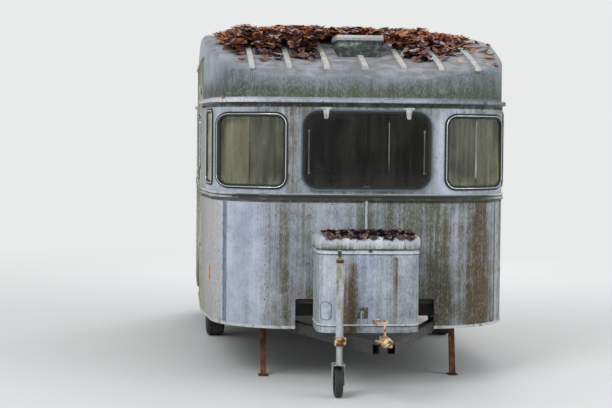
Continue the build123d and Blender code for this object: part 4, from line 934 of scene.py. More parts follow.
# %% [markdown]
# ## The shape of the shell, for the pieces that lie on it
#
# Seen from above, the body is a shallow bow in front, round corners and flanks that widen
# to the middle section. The filler strips, the curtains and the screws follow that line, so
# it is worked out here once, from the same sizes as the CAD: a bow of 12 m radius, corners
# of 0.58 m and flanks that taper by 5.6 degrees.

# %% Plan of the shell
front_face = -1.768
body_length = 4.62
bow_radius, corner_radius = 12.0, 0.58
taper = radians(5.6)
joint_from_front = 1.115
flank_normal = Vector((cos(taper), -sin(taper)))
flank_reach = half_width * flank_normal.x + joint_from_front * flank_normal.y - corner_radius
bow_gap = bow_radius - corner_radius
flank_gap = flank_reach - bow_radius * flank_normal.y
flank_along = bow_radius * flank_normal.x - sqrt(bow_gap**2 - flank_gap**2)
corner_x = flank_normal.x * flank_reach - flank_normal.y * flank_along
corner_y = flank_normal.y * flank_reach + flank_normal.x * flank_along


def plan_line(out, start_x, end_y, step=0.012):
    """Points (x, y, angle) from a place on the bow round the right-hand corner to a flank Y."""
    line = []
    bow_angle = atan2(corner_x, bow_radius - corner_y)
    angle = start_x / bow_radius
    while angle < bow_angle:
        line.append((sin(angle) * (bow_radius + out), bow_radius - cos(angle) * (bow_radius + out), angle))
        angle += step / bow_radius
    angle = bow_angle
    flank_angle = pi / 2 - taper
    while angle < flank_angle:
        radius = corner_radius + out
        line.append((corner_x + sin(angle) * radius, corner_y - cos(angle) * radius, angle))
        angle += step / corner_radius
    last = Vector((corner_x, corner_y)) + flank_normal * (corner_radius + out)
    slope = Vector((-flank_normal.y, flank_normal.x))
    gone = 0.0
    while last.y + slope.y * gone < end_y:
        spot = last + slope * gone
        line.append((spot.x, spot.y, flank_angle))
        gone += step
    return line


outer_line = [row for row in plan_line(0.0, 0.0, joint_from_front, 0.004) if row[1] < corner_y]


def on_shell(x, out=0.0):
    """Place on the front of the shell at a given X, measured back from the front face."""
    side = -1 if x < 0 else 1
    row = min(outer_line, key=lambda p: abs(p[0] - abs(x)))
    return Vector((x, row[1])) + Vector((side * sin(row[2]), -cos(row[2]))) * out


def at_end(back, end):
    """Y of a place so far back from the front face (end 0) or forward of the rear one (end 1)."""
    return front_face + (back if end == 0 else body_length - back)


print("corner of the shell at", round(corner_x, 3), round(corner_y, 3))

# %% [markdown]
# ## Turning lists of points into pieces
#
# Most of the small pieces below are meshes written out point by point, so one function makes
# the object, smooths it, gives it its finish and lets it ride on the CAD body that carries
# it. A piece that rides on a body moves with it when a door or a lid is opened.

# %% Piece helpers
def piece(name, points, faces, material, body, slot=None, smooth=True):
    """A mesh object in the frame of the CAD, riding on a body."""
    mesh = bpy.data.meshes.new(name)
    mesh.from_pydata(points, [], faces)
    mesh.validate()
    for polygon in mesh.polygons:
        polygon.use_smooth = smooth
    mesh.materials.append(material)
    thing = into_scene(name, mesh)
    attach(thing, body)
    print(name, len(mesh.polygons), "faces on", body)
    return thing


def quads(rows, wide, closed_rows=False, closed_wide=False):
    """Four-sided faces between rows of points; what is closed joins its last to its first."""
    faces = []
    for j in range(rows if closed_rows else rows - 1):
        here, above = j * wide, (j + 1) % rows * wide
        for i in range(wide if closed_wide else wide - 1):
            after = (i + 1) % wide
            faces.append((here + i, here + after, above + after, above + i))
    return faces


def tube(path, radius, sides=8, closed=False):
    """Points and faces of a round bar that follows a path; radius may be one per point."""
    points = []
    count = len(path)
    radii = radius if isinstance(radius, list) else [radius] * count
    side = None
    for i, spot in enumerate(path):
        before = path[i - 1] if (i or closed) else spot
        after = path[(i + 1) % count] if (i < count - 1 or closed) else spot
        along = (after - before).normalized()
        # The last ring's side is carried on, so that the bar doesn't twist
        if side is None:
            side = along.cross(Vector((0, 0, 1)) if abs(along.z) < 0.9 else Vector((0, 1, 0)))
        side = (side - along * side.dot(along)).normalized()
        lift = side.cross(along)
        for k in range(sides):
            angle = 2 * pi * k / sides
            points.append(spot + (side * cos(angle) + lift * sin(angle)) * radii[i])
    faces = quads(count, sides, closed, True)
    if not closed:
        faces.append(tuple(range(sides))[::-1])
        faces.append(tuple((count - 1) * sides + k for k in range(sides)))
    return points, faces


def ring_of(count):
    """Angles evenly round a circle."""
    return [2 * pi * k / count for k in range(count)]


def joined(parts):
    """Several (points, faces) lists as one."""
    points, faces = [], []
    for some_points, some_faces in parts:
        start = len(points)
        points.extend(some_points)
        faces.extend(tuple(i + start for i in face) for face in some_faces)
    return points, faces


# %% [markdown]
# ## The bright filler strips
#
# Each window sits in a black rubber that is locked by a bright strip pushed into its middle.
# It is the thin shiny ring round every pane in the photograph. Chromed plastic is smooth, so
# it is nearly a mirror with a few dull spots of lime. Inside it the rubber has a flat lip
# over the pane, which is a ring of its own with a section of four points.

# %% Chromed filler strips
chrome = mottled(
    "chromed plastic filler strip", [(0.4, "e4e7ea"), (0.6, "c3c7c6"), (0.72, "7d8176")], 60.0,
    (0.14, 0.5), metal=0.95, relief=0.0002,
)


def window_outline(low, high, half, round_off, shrink, steps=9):
    """Points (across, height) round a window's rounded rectangle, drawn in by shrink."""
    half, round_off = half - shrink, round_off - shrink
    low, high = low + shrink, high - shrink
    corners = [
        (half - round_off, low + round_off, -pi / 2),
        (half - round_off, high - round_off, 0),
        (-half + round_off, high - round_off, pi / 2),
        (-half + round_off, low + round_off, pi),
    ]
    outline = []
    for cx, cz, first in corners:
        for k in range(steps):
            angle = first + pi / 2 * k / (steps - 1)
            outline.append((cx + round_off * cos(angle), cz + round_off * sin(angle)))
    dense = []
    for (u, z), (u2, z2) in zip(outline, outline[1:] + outline[:1]):
        pieces = max(1, int(hypot(u2 - u, z2 - z) / 0.02))
        for k in range(pieces):
            dense.append((u + (u2 - u) * k / pieces, z + (z2 - z) * k / pieces))
    return dense


filler_in = 0.0150
filler_out = 0.0064
filler_radius = 0.0030
lip_section = [(0.0225, 0.0050), (0.0330, 0.0005), (0.0330, -0.0025), (0.0225, -0.0025)]


def lip_ring(outlines):
    """A closed ring through several outlines that have as many points each."""
    count = len(outlines[0])
    points = [outline[i] for i in range(count) for outline in outlines]
    return points, quads(count, len(outlines), True, True)


window_low, window_high = 1.316, 1.843
corner_window = (half_width - 0.323, 0.242, 0.086)
flank_window = (0.630, 0.175, 0.060, window_low + 0.010, 1.868)


def corner_ring(side, end, shrink, out):
    """The outline of a corner window, drawn in by shrink and laid out from the shell."""
    middle, half, round_off = corner_window
    ring = []
    for u, z in window_outline(window_low, window_high, half, round_off, shrink):
        spot = on_shell(side * (middle + u), out)
        ring.append(Vector((spot.x, at_end(spot.y, end), z)))
    return ring


def flank_ring(side, end, shrink, out):
    """The same for the narrow window in a flank."""
    place_y, half, round_off, low, high = flank_window
    ring = []
    for u, z in window_outline(low, high, half, round_off, shrink):
        y = place_y + u
        x = half_width + (y - joint_from_front) * sin(taper) / cos(taper) + out
        ring.append(Vector((side * x, at_end(y, end), z)))
    return ring


def side_ring(side, place_y, half, shrink, out):
    """The same for a window in a flat side wall."""
    outline = window_outline(window_low, window_high, half, 0.086, shrink)
    return [Vector((side * (half_width + out), front_face + place_y + u, z)) for u, z in outline]


strips, lips = [], []
for side in (-1, 1):
    for end in (0, 1):
        for ring in (corner_ring, flank_ring):
            strips.append(tube(ring(side, end, filler_in, filler_out), filler_radius, closed=True))
            lips.append(lip_ring([ring(side, end, *row) for row in lip_section]))
side_windows = [(-1, 2.480, 0.400), (1, 1.660, 0.320), (1, 2.720, 0.430)]
for window in side_windows:
    strips.append(tube(side_ring(*window, filler_in, filler_out), filler_radius, closed=True))
    lips.append(lip_ring([side_ring(*window, *row) for row in lip_section]))
piece("filler_strips", *joined(strips), chrome, "caravan", "bare_aluminium")
piece("rubber_lips", *joined(lips), rubber, "caravan", "window_rubber")
door_path = [
    Vector((-half_width - filler_out, front_face + 1.49 + u, z))
    for u, z in window_outline(1.42, 1.82, 0.180, 0.060, filler_in)
]
piece("door_filler_strip", *tube(door_path, filler_radius, closed=True), chrome, "door", "bare_aluminium")

# %% [markdown]
# ## Curtains
#
# Two curtains hang in each corner: dark grey ones towards the middle and yellowed ones
# towards the sides. Cloth that hangs from a rail falls in folds, narrow and regular at the
# top and wider and uneven below, so each curtain is a sheet whose plan line is a wave. Its
# cut width is measured along that wave, as a real curtain is cut wider than its window.

# %% Cloth finish
def cloth(name, tones, scale, threads, sheen, drawn=(1, 1, 0.12), right_side_shade=0.0):
    """Woven cloth: soft uneven fading, threads as two crossed waves, and a light sheen."""
    material, tree, place = start_material(name)
    stretched = add(tree, "Mapping", feeds={0: place, 3: drawn})
    fade = add(
        tree, "TexNoise", feeds={"Vector": stretched, "Scale": scale, "Detail": 6.0, "Roughness": 0.55},
    )
    colour = add(tree, "ValToRGB", fade, stops=tones)
    upright = add(
        tree, "TexWave", feeds={"Vector": place, "Scale": threads}, bands_direction="X", out=1,
    )
    level = add(tree, "TexWave", feeds={"Vector": place, "Scale": threads}, bands_direction="Z", out=1)
    weave = add(tree, "Math MAXIMUM", upright, level)
    shade = add(tree, "MapRange", weave, 0.0, 1.0, 0.25, 0.0)
    # Cloth on the right-hand side is painted darker and greener: painted shade, as the inside is darker
    # there. A guess: cloth on the right-hand side is damper, so it is greener
    damp = add(tree, "MapRange", add(tree, "SeparateXYZ", place, out="X"), 0.0, 0.1, 0.0, right_side_shade)
    colour = add(tree, "Mix RGBA", feeds={0: damp, 6: colour, 7: "6a7057"}, out=2)
    colour = add(tree, "Mix RGBA", feeds={0: shade, 6: colour, 7: "1c1a17"}, out=2)
    dress(
        tree, Base_Color=colour, Roughness=add(tree, "MapRange", fade, 0.3, 0.7, 0.95, 0.8),
        Sheen_Weight=sheen,
    )
    dress(tree, Normal=add(tree, "Bump", feeds={"Strength": 0.4, "Distance": 0.0006, "Height": weave}))
    return material


grey_tones = [(0.36, "3f4139"), (0.52, "5d5f54"), (0.68, "7b7c6b")]
grey_cloth = cloth("grey green curtain cloth", grey_tones, 9.0, 260.0, 0.2)
yellow_tones = [(0.36, "a79f7a"), (0.52, "bcb493"), (0.68, "cfc8ab")]
yellow_cloth = cloth("yellowed curtain cloth", yellow_tones, 9.0, 260.0, 0.2, right_side_shade=0.55)


def curtain(name, side, end, first, last, material, rng):
    """One gathered curtain along the shell's inner line, from one distance along it to another."""
    step, fold_wide, rows = 0.006, 0.047, 24
    line = plan_line(-0.055, 0.510, 1.030, step)
    line = line[round(first / step) : round(last / step)]
    low, high = 1.286, 1.860
    phase = [rng.uniform(-0.9, 0.9) for _ in range(9)]
    points = []
    for j in range(rows):
        down = 1 - j / (rows - 1)
        z = low + (high - low) * j / (rows - 1)
        for i, (x, y, angle) in enumerate(line):
            fold = i * step / fold_wide * 2 * pi + phase[int(i / 22) % 9] * down
            deep = (0.0035 + 0.0035 * down) * sin(fold) + 0.0012 * down * sin(fold * 0.37 + phase[0])
            back = y - cos(angle) * deep
            points.append(Vector((side * (x + sin(angle) * deep), at_end(back, end), z)))
    wide = len(line)
    thing = piece(name, points, quads(rows, wide), material, "caravan", "curtain_fabric")
    middle = rows // 2 * wide
    cut = sum((points[middle + i + 1] - points[middle + i]).length for i in range(wide - 1))
    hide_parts("curtains")
    return cut


# Each kind's start and end along the shell; the yellow one runs to the end of its rail
curtain_kinds = (("grey", 0.0, 0.362, grey_cloth), ("yellow", 0.368, 3.0, yellow_cloth))
rng = random.Random(7)
for end, end_name in ((0, "front"), (1, "rear")):
    for side, side_name in ((-1, "left"), (1, "right")):
        for tone, first, last, fabric in curtain_kinds:
            cut = curtain(f"curtain_{tone}_{end_name}_{side_name}", side, end, first, last, fabric, rng)
            print("cut width:", tone, round(cut, 3))

# %% [markdown]
# ## Bench cushions
#
# A foam cushion in a sewn cover is plump in the middle and pulled in along its edges. Each
# one starts as its plain CAD block, gets an even skin of small faces, and is then blown up a
# little as cloth under pressure. The points may move only so far, and they stay above the
# bench and inside the walls. The rear cushions are mirrored copies of the front ones.

# %% Cushions as inflated cloth
brown_tones = [(0.36, "4d3a26"), (0.52, "6d5234"), (0.68, "8a6c47")]
cushion_cloth = cloth("brown ribbed cushion fabric", brown_tones, 7.0, 140.0, 0.35, (1, 1, 1))


def islands(mesh):
    """The separate solids of a mesh, each as its points and faces."""
    owner = list(range(len(mesh.vertices)))
    keys = [tuple(round(c, 5) for c in vertex.co) for vertex in mesh.vertices]

    def root(i):
        while owner[i] != i:
            owner[i] = owner[owner[i]]
            i = owner[i]
        return i

    merged = {}
    for index, key in enumerate(keys):
        owner[index] = merged.setdefault(key, index)
    for polygon in mesh.polygons:
        first = root(polygon.vertices[0])
        for index in polygon.vertices[1:]:
            owner[root(index)] = first
    groups = {}
    for polygon in mesh.polygons:
        groups.setdefault(root(polygon.vertices[0]), []).append(tuple(polygon.vertices))
    solids = []
    for faces in groups.values():
        used = sorted({merged[keys[i]] for face in faces for i in face})
        place = {index: k for k, index in enumerate(used)}
        points = [mesh.vertices[i].co.copy() for i in used]
        turned = []
        for face in faces:
            row = [place[merged[keys[i]]] for i in face]
            if len(set(row)) > 2:
                turned.append(tuple(row))
        solids.append((points, turned))
    return solids


def evaluated(thing):
    """The mesh of an object with its modifiers worked out."""
    graph = bpy.context.evaluated_depsgraph_get()
    return bpy.data.meshes.new_from_object(thing.evaluated_get(graph))


def inflated(points, faces, most=0.016):
    """A block as a cushion: even skin, a push of pressure, and the move held to a limit."""
    low = Vector([min(p[k] for p in points) for k in range(3)])
    high = Vector([max(p[k] for p in points) for k in range(3)])
    middle = (low + high) / 2
    size = high - low
    shrink = Vector([1 - 0.016 / size[k] for k in range(3)])
    mesh = bpy.data.meshes.new("cushion_start")
    mesh.from_pydata([middle + (p - middle) * shrink for p in points], [], faces)
    thing = into_scene("cushion_start", mesh)
    skin = thing.modifiers.new("skin", "REMESH")
    skin.mode = "VOXEL"
    skin.voxel_size = 0.012
    thing.data = evaluated(thing)
    thing.modifiers.clear()
    start = [v.co.copy() for v in thing.data.vertices]
    puff = thing.modifiers.new("puff", "CLOTH")
    puff.settings.use_pressure = True
    puff.settings.uniform_pressure_force = 4.0
    puff.settings.effector_weights.gravity = 0.0
    puff.point_cache.frame_end = 20
    for frame_number in range(1, 21):
        bpy.context.scene.frame_set(frame_number)
    puffed = evaluated(thing)
    moved = [v.co.copy() for v in puffed.vertices]
    thing.modifiers.clear()
    for vertex, was, now in zip(thing.data.vertices, start, moved):
        step = now - was
        if step.length > most:
            step *= most / step.length
        spot = was + step
        vertex.co = [min(max(spot[k], low[k] + 0.0005), high[k] + 0.006 * (k == 2)) for k in range(3)]
    bpy.context.scene.frame_set(1)
    points = [v.co.copy() for v in thing.data.vertices]
    faces = [tuple(p.vertices) for p in thing.data.polygons]
    bpy.data.objects.remove(thing)
    return points, faces


def middle_of(points, k):
    return sum(p[k] for p in points) / len(points)


solids = islands(nodes["cushions"].data)
front_solids = [s for s in solids if middle_of(s[0], 1) < 0 and middle_of(s[0], 0) > -0.2]
print(len(solids), "cushions,", len(front_solids), "of them worked out, the rest mirrored")
rear_shift = 2 * front_face + body_length
for points, faces in front_solids:
    soft_points, soft_faces = inflated(points, faces)
    spots = (("right", 1), ("left", -1)) if middle_of(points, 0) > 0.2 else (("middle", 1),)
    for side_name, side in spots:
        for end_name, end in (("front", 0), ("rear", 1)):
            placed = [Vector((side * p.x, p.y if end == 0 else rear_shift - p.y, p.z)) for p in soft_points]
            turned = soft_faces if (side > 0) == (end == 0) else [face[::-1] for face in soft_faces]
            name = f"cushion_{end_name}_{side_name}"
            thing = piece(name, placed, turned, cushion_cloth, "caravan", "cushion_fabric")
            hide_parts("cushions")
            smooth = thing.modifiers.new("smooth", "SUBSURF")
            smooth.levels = smooth.render_levels = 1

# %% [markdown]
# ## Tyres
#
# A tyre is its section turned about the axle. The tread is cut by making some of the turned
# rows lower where a cross groove passes, in four staggered rows of blocks, which is easier
# to keep even than cutting grooves with solids. The sidewalls are plain.

# %% Tyres with tread
tyre_rubber = mottled(
    "weathered tyre rubber", [(0.35, "1b1b1a"), (0.55, "2a2a28"), (0.72, "3c3a35")], 22.0, (0.6, 0.9),
    relief=0.0008, over=[("57523f", 9.0, 0.56)],
)
tyre_rows = [
    (0.168, -0.048), (0.181, -0.056), (0.196, -0.067), (0.214, -0.074), (0.232, -0.0765),
    (0.250, -0.0755), (0.264, -0.0725), (0.276, -0.067), (0.2835, -0.061), (0.2885, -0.053),
    (0.2895, -0.044), (0.2895, -0.034), (0.2835, -0.032), (0.2835, -0.026), (0.2898, -0.024),
    (0.2898, -0.014), (0.2898, -0.004), (0.2835, -0.003),
]
tyre_rows += [(radius, -offset) for radius, offset in reversed(tyre_rows)]
around = 216
for side, side_name in ((-1, "left"), (1, "right")):
    low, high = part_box(f"tyre_{side_name}")
    centre = Vector([(low[k] + high[k]) / 2 for k in range(3)])
    points = []
    for k in range(around):
        angle = 2 * pi * k / around
        for radius, offset in tyre_rows:
            groove = (k + (3 if offset > 0 else 0) + (2 if abs(offset) > 0.03 else 0)) % 6 == 0
            cut = 0.0055 if groove and radius > 0.2885 else 0.0
            reach = radius - cut
            points.append(centre + Vector((offset * side, reach * cos(angle), reach * sin(angle))))
    faces = [face if side < 0 else face[::-1] for face in quads(around, len(tyre_rows), True)]
    wheel = f"road_wheel_{side_name}"
    thing = piece(f"tyre_tread_{side_name}", points, faces, tyre_rubber, wheel, "tyre_rubber")
    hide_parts(f"tyre_{side_name}")
    sharp = thing.modifiers.new("edges", "EDGE_SPLIT")
    sharp.split_angle = radians(38)

# %% [markdown]
# ## The coupling's handle, and small fittings round the drawbar
#
# The coupling lever of the photograph is a bent rod: an upright stem that ends in a flat
# loop to the left, with a small ear on the right. A bent rod is one round bar along a path.
# The vent's draw rod, the thin seam round the arched flap and the two bands of the jockey
# tube are made the same way.

# %% Drawbar fittings
handle_y = front_face - 0.970
bar_thick = 0.0055
stem = [Vector((0.0, handle_y, z)) for z in (0.440, 0.470, 0.500, 0.530, 0.546)]
loop = []
for angle in ring_of(28):
    half = 0.040 if cos(angle) > 0 else 0.038
    loop.append(Vector((-0.038 + half * cos(angle), handle_y, 0.543 + 0.0125 * sin(angle))))
ear = [Vector((0.016 * sin(k / 6 * pi), handle_y, 0.528 + 0.026 * k / 6)) for k in range(7)]
stem_radii = [0.0085, 0.0075, 0.007, 0.0065, 0.006]
parts = [tube(stem, stem_radii, 12), tube(loop, bar_thick, 10, closed=True), tube(ear, 0.004, 8)]
collar = [Vector((0.0, handle_y, z)) for z in (0.440, 0.443, 0.455, 0.458)]
parts.append(tube(collar, [0.010, 0.014, 0.014, 0.010], 16))
thing = piece("coupling_handle", *joined(parts), coupling_metal, "caravan", "rusty_steel")
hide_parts("coupling_lever")

locker_front = front_face - 0.465
rod = [Vector((-0.086, locker_front - 0.007, z)) for z in (0.425, 0.46, 0.50, 0.549)]
piece("vent_draw_rod", *tube(rod, 0.0032, 10), jockey_metal, "caravan", "zinc_steel")

# The flap lies on the locker's round corner, so its seam does too
locker_corner_x, locker_corner_y, seam_radius = -0.267, front_face - 0.365, 0.1042
seam = []
for u, z in window_outline(0.490, 0.608, 0.033, 0.030, 0.0):
    x = -0.315 + u
    y = locker_corner_y - sqrt(max(seam_radius**2 - (x - locker_corner_x) ** 2, 0))
    seam.append(Vector((x, y, z)))
piece("locker_flap_seam", *tube(seam, 0.0016, 6, closed=True), rubber, "caravan", "window_rubber")

jockey = Vector((-0.240, front_face - 0.600, 0))
bands = []
for z, tall in ((0.702, 0.010), (0.592, 0.010), (0.884, 0.022)):
    half, slope, rows = tall / 2, 0.002, []
    for radius, up in ((0.0243, -half), (0.0268, slope - half), (0.0268, half - slope), (0.0243, half)):
        rows.append([jockey + Vector((radius * cos(a), radius * sin(a), z + up)) for a in ring_of(32)])
    bands.append(lip_ring(rows))
piece("jockey_bands", *joined(bands[:2]), jockey_metal, "caravan", "zinc_steel")
piece("jockey_collar", *bands[2], rusty_steel, "caravan", "rusty_steel")

# %% [markdown]
# ## Screws
#
# The strips over the joints and the roof rail are held by rows of small domed screws. Each
# head is a shallow dome, repeated along the strips. A slot would be too fine to show.

# %% Screw heads
def screw(place, out, radius=0.0045):
    """A domed head at a place, facing out."""
    out = out.normalized()
    side = out.cross(Vector((0, 0, 1))).normalized()
    lift = side.cross(out)
    sides, rings, points = 10, ((1.0, -0.2), (0.94, 0.25), (0.6, 0.5)), []
    for reach, height in rings:
        for k in range(sides):
            angle = 2 * pi * k / sides
            around_it = (side * cos(angle) + lift * sin(angle)) * radius * reach
            points.append(place + around_it + out * radius * height)
    top = tuple(range(len(points) - sides, len(points)))
    return points, [*quads(len(rings), sides, closed_wide=True), top]


on_strip, on_rail = half_width + 0.0052, half_width + 0.0092
heads = []
for side in (-1, 1):
    spots = []
    for end in (0, 1):
        y = at_end(joint_from_front, end)
        spots += [(on_strip, y, 0.43 + 0.112 * k) for k in range(8)]
        spots += [(on_strip, y, 1.34 + 0.128 * k) for k in range(5)]
    spots += [(on_rail, front_face + 1.19 + 0.149 * k, 2.250) for k in range(16)]
    heads += [screw(Vector((side * x, y, z)), Vector((side, 0, 0))) for x, y, z in spots]
piece("strip_screws", *joined(heads), jockey_metal, "caravan", "zinc_steel")

# %% [markdown]
# ## Fallen leaves
#
# Years of leaves lie on the front of the roof, a hand deep behind the break, and a thinner
# layer lies on the locker lid. Each leaf is a bent and folded blade of eight faces. Where
# they lie comes from one function that gives the depth of the heap at each place: leaves are
# scattered from the roof up to that depth, tilted at random, and joined into one mesh. A
# number kept on each leaf picks its colour, from wet dark brown to fresh orange; the darkest
# tones are partly painted shade between the leaves, and a tenth of the leaves are pale, a
# painted highlight of their wet sheen.

# %% Leaf finish
material, tree, place = start_material("fallen leaves, wet and dry")
tint = add(tree, "Attribute", attribute_name="leaf_tint", out="Fac")
mottle = add(tree, "TexNoise", feeds={"Vector": place, "Scale": 70.0, "Detail": 6.0, "Roughness": 0.55})
level = add(tree, "Math MULTIPLY_ADD", add(tree, "Math SUBTRACT", mottle, 0.5), 0.35, tint)
# The pale stops near 0.9 are painted highlight, and the darkest stops are partly painted shade among the
# leaves
stops = [
    (0.0, "241a1b"), (0.12, "3d2b2b"), (0.26, "5f4445"), (0.38, "7b5a58"), (0.47, "75493a"),
    (0.58, "94502c"), (0.70, "b46228"), (0.80, "c88145"), (0.88, "a9918f"), (0.93, "c3b1ab"),
    (0.98, "c9a238"),
]
dress(
    tree, Base_Color=add(tree, "ValToRGB", level, stops=stops),
    Roughness=add(tree, "MapRange", level, 0.1, 0.7, 0.32, 0.7),
)
dress(tree, Normal=add(tree, "Bump", feeds={"Strength": 0.5, "Distance": 0.0008, "Height": mottle}))
leaf_finish = material


def blade(rng, length, width):
    """One leaf lying along X about the origin: points and faces."""
    curl = rng.uniform(-0.55, 0.75)
    fold = rng.uniform(-0.35, 0.6)
    twist = rng.uniform(-0.5, 0.5)
    points, faces = [], []
    for t, share in ((0.0, 0.0), (0.20, 0.70), (0.48, 1.0), (0.76, 0.66), (1.0, 0.0)):
        x = (t - 0.5) * length
        rise = curl * length * (t - 0.5) ** 2 * 1.6
        half = width / 2 * share
        if share:
            lean, edge = twist * (t - 0.5) * half, rise + half * fold
            points += [(x, -half, edge - lean), (x, 0, rise), (x, half, edge + lean)]
        else:
            points.append((x, 0, rise))
    faces += [(0, 2, 1), (0, 3, 2), (10, 7, 8), (10, 8, 9)]
    for row in (1, 4):
        faces += [(row, row + 1, row + 4, row + 3), (row + 1, row + 2, row + 5, row + 4)]
    return points, faces


def surface_below(name):
    """A function that gives the height of a CAD node's top at a place, and its normal there."""
    mesh = nodes[name].data
    tree = BVHTree.FromPolygons([v.co for v in mesh.vertices], [p.vertices for p in mesh.polygons])

    def look(x, y):
        spot, normal, _, _ = tree.ray_cast(Vector((x, y, 4.0)), Vector((0, 0, -1)))
        return (spot.z, normal) if spot else (None, None)

    return look


def scatter(rng, spots, top):
    """Leaves at (place, normal, size, tint, tilt) rows as one mesh, none of it above the top."""
    points, faces, tints = [], [], []
    for place, normal, size, tint, tilt in spots:
        some_points, some_faces = blade(rng, size, size * rng.uniform(0.48, 0.66))
        turn = normal.to_track_quat("Z", "Y").to_matrix()
        lean = Euler((rng.gauss(0, tilt), rng.gauss(0, tilt), rng.uniform(0, 2 * pi)))
        turn = turn @ lean.to_matrix()
        start = len(points)
        for p in some_points:
            spot = place + turn @ Vector(p)
            spot.z = min(spot.z, top)
            points.append(spot)
        faces += [tuple(i + start for i in face) for face in some_faces]
        tints += [tint] * len(some_points)
    return points, faces, tints


def leaf_piece(name, points, faces, tints, body):
    thing = piece(name, points, faces, leaf_finish, body)
    values = thing.data.attributes.new("leaf_tint", "FLOAT", "POINT")
    values.data.foreach_set("value", tints)
    return thing


# %% Leaves on the roof
def clamp(value):
    return max(0.0, min(1.0, value))


def depth(x, y):
    """How deep the leaves lie on the roof, y from the front face."""
    edge = 0.34 + 0.05 * sin(8.3 * x + 0.6) + 0.03 * sin(19.0 * x + 2.0)
    edge += 1.5 * clamp(x - 0.52) + 2.5 * clamp(-0.80 - x)
    front = clamp((y - edge) / 0.34)
    back = clamp((1.75 - y) / 0.75)
    tail = clamp((2.75 - y) / 1.0)
    side = clamp((0.97 - abs(x + 0.02)) / 0.16)
    lumps = 0.80 + 0.13 * sin(5.1 * x + 1.0) * cos(4.3 * y) + 0.09 * sin(13.0 * x + 7.0 * y)
    thin_right = 1 - 0.55 * clamp((x - 0.35) / 0.4)
    return 0.128 * front * (0.18 * tail + 0.82 * back) * side * lumps * thin_right


def by_hatch(x, y, room=0.0):
    """Whether a place is on the hatch or where its lid opens."""
    return abs(x) < 0.190 + room and 0.30 - room < y < 0.900 + room


rib_end = 0.66


def near_rib(x, y, room):
    """Whether a place is over one of the bare ends of the ribs, in front of the heap."""
    return y < rib_end and min(abs(x - rib) for rib in rib_places) < room


rng = random.Random(11)
roof_top = surface_below("roof")
top_limit = cad_box[1][2] - 0.001
step = 0.017
wide, deep = 116, 84
points, faces, index = [], [], {}
for j in range(deep):
    for i in range(wide):
        x, y = -0.96 + step * i, 0.30 + step * j
        height, _ = roof_top(x, front_face + y)
        under = depth(x, y) * 0.72
        beside_hatch = abs(x) < 0.250 and y < 0.930
        if height is None or under < 0.010 or beside_hatch or near_rib(x, y, 0.034):
            continue
        index[i, j] = len(points)
        lump = rng.uniform(-0.006, 0.006)
        points.append(Vector((x, front_face + y, min(height + under + lump - 0.012, top_limit))))
for (i, j), first in index.items():
    corners = [(i + 1, j), (i + 1, j + 1), (i, j + 1)]
    if all(c in index for c in corners):
        faces.append((first, *(index[c] for c in corners)))
# The litter under the leaves is near black: rotted leaves, and painted shade in the gaps between them
litter = mottled(
    "rotted leaf litter, dark also as painted shade", [(0.36, "17100e"), (0.52, "2c1d18"), (0.68, "45291f")], 55.0, (0.6, 0.95),
    relief=0.004,
)
piece("roof_litter", points, faces, litter, "caravan")

heap_leaves, all_leaves, lid_leaves = 6450, 6800, 620
spots = []
while len(spots) < heap_leaves:
    x, y = rng.uniform(-0.98, 1.02), rng.uniform(0.28, 2.75)
    here = depth(x, y)
    if rng.random() > here / 0.11 + 0.012 or by_hatch(x, y, 0.035):
        continue
    if near_rib(x, y, 0.048):
        continue
    height, normal = roof_top(x, front_face + y)
    if height is None:
        continue
    lift = here * rng.uniform(0.62, 1.02) + 0.004 if here > 0.02 else 0.006 + here * rng.random()
    fresh = clamp((y - 0.50) / 0.45) * 0.34
    tint = min(max(rng.gauss(0.27 + fresh, 0.25), 0.0), 0.84)
    # A tenth of the leaves get pale tones: painted highlight, the sheen on wet leaves
    if rng.random() < 0.10:
        tint = rng.uniform(0.87, 0.93)
    if rng.random() < 0.006:
        tint = 1.0
    size = rng.uniform(0.060, 0.115)
    spots.append((Vector((x, front_face + y, height + lift)), normal, size, tint, 0.19))
# A few lie by themselves further back
while len(spots) < all_leaves:
    x, y = rng.uniform(-1.0, 1.0), rng.uniform(1.4, 4.45)
    if rng.random() > 0.25 + 0.75 * abs(sin(3.1 * x + 1.7 * y)):
        continue
    height, normal = roof_top(x, front_face + y)
    if height is None:
        continue
    place = Vector((x, front_face + y, height + 0.006))
    spots.append((place, normal, rng.uniform(0.05, 0.085), rng.uniform(0.1, 0.7), 0.12))
leaf_piece("roof_leaves", *scatter(rng, spots, top_limit), "caravan")

# %% [markdown]
# The leaves on the locker lid ride on the lid. They keep clear of its rear edge, because
# there the lid swings close to the front wall, and a few hang over its front rim.

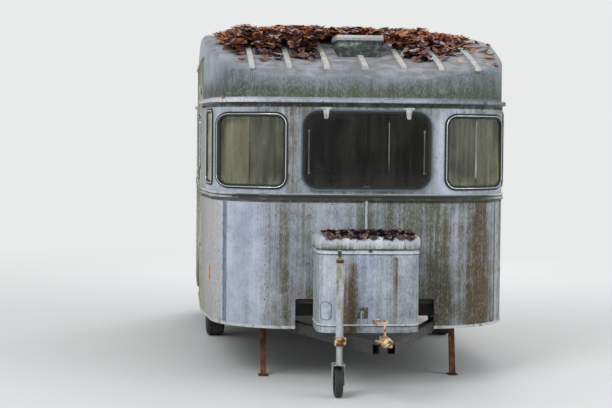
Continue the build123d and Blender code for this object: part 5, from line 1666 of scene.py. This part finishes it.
# %% Leaves on the locker lid
lid_top = surface_below("locker_lid")
low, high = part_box("locker_lid")
spots = []
while len(spots) < lid_leaves:
    x = rng.uniform(low[0] + 0.05, high[0] - 0.05)
    y = rng.uniform(low[1] + 0.002, high[1] - 0.115)
    height, normal = lid_top(x, y)
    if height is None or height < high[2] - 0.05 or rng.random() < 0.7 * clamp((low[0] + 0.13 - x) / 0.08):
        continue
    pile = 0.020 * clamp((y - low[1]) / 0.06) * clamp((high[1] - 0.09 - y) / 0.08)
    pile *= clamp((x - low[0] - 0.05) / 0.08) * clamp((high[0] - 0.05 - x) / 0.08)
    place = Vector((x, y, height + 0.005 + pile * rng.random()))
    tint = min(max(rng.gauss(0.10, 0.13), 0.0), 0.5)
    # A few pale ones: painted highlight
    if rng.random() < 0.04:
        tint = 0.89
    spots.append((place, normal, rng.uniform(0.045, 0.075), tint, 0.22))
leaf_piece("locker_leaves", *scatter(rng, spots, high[2] + 0.035), "locker_cover")

# %% [markdown]
# A few thin twigs lie among the leaves. Each is a bar that narrows to its tip and bends a
# little at random as it goes.

# %% Twigs
bark = mottled("dark twig bark", [(0.36, "1d1712"), (0.55, "372a20"), (0.7, "57463a")], 90.0, (0.6, 0.9))
twigs = []
for number in range(26):
    x, y = rng.uniform(-0.85, 0.85), rng.uniform(0.55, 1.9)
    if by_hatch(x, y, 0.16):
        continue
    heading = rng.uniform(0, 2 * pi)
    path = []
    for k in range(9):
        height, _ = roof_top(x, front_face + y)
        if height is None or by_hatch(x, y, 0.05):
            break
        lift = depth(x, y) * 0.98 + 0.010
        path.append(Vector((x, front_face + y, min(height + lift, top_limit - 0.004))))
        heading += rng.gauss(0, 0.22)
        x, y = x + 0.034 * cos(heading), y + 0.034 * sin(heading)
    if len(path) > 4:
        thick = rng.uniform(0.0022, 0.0038)
        twigs.append(tube(path, [thick * (1 - 0.75 * k / len(path)) for k in range(len(path))], 6))
piece("roof_twigs", *joined(twigs), bark, "caravan")

# %% [markdown]
# ## The end
#
# Standard view transform shows colours as they are written.

# %% Finish
bpy.context.scene.view_settings.view_transform = "Standard"
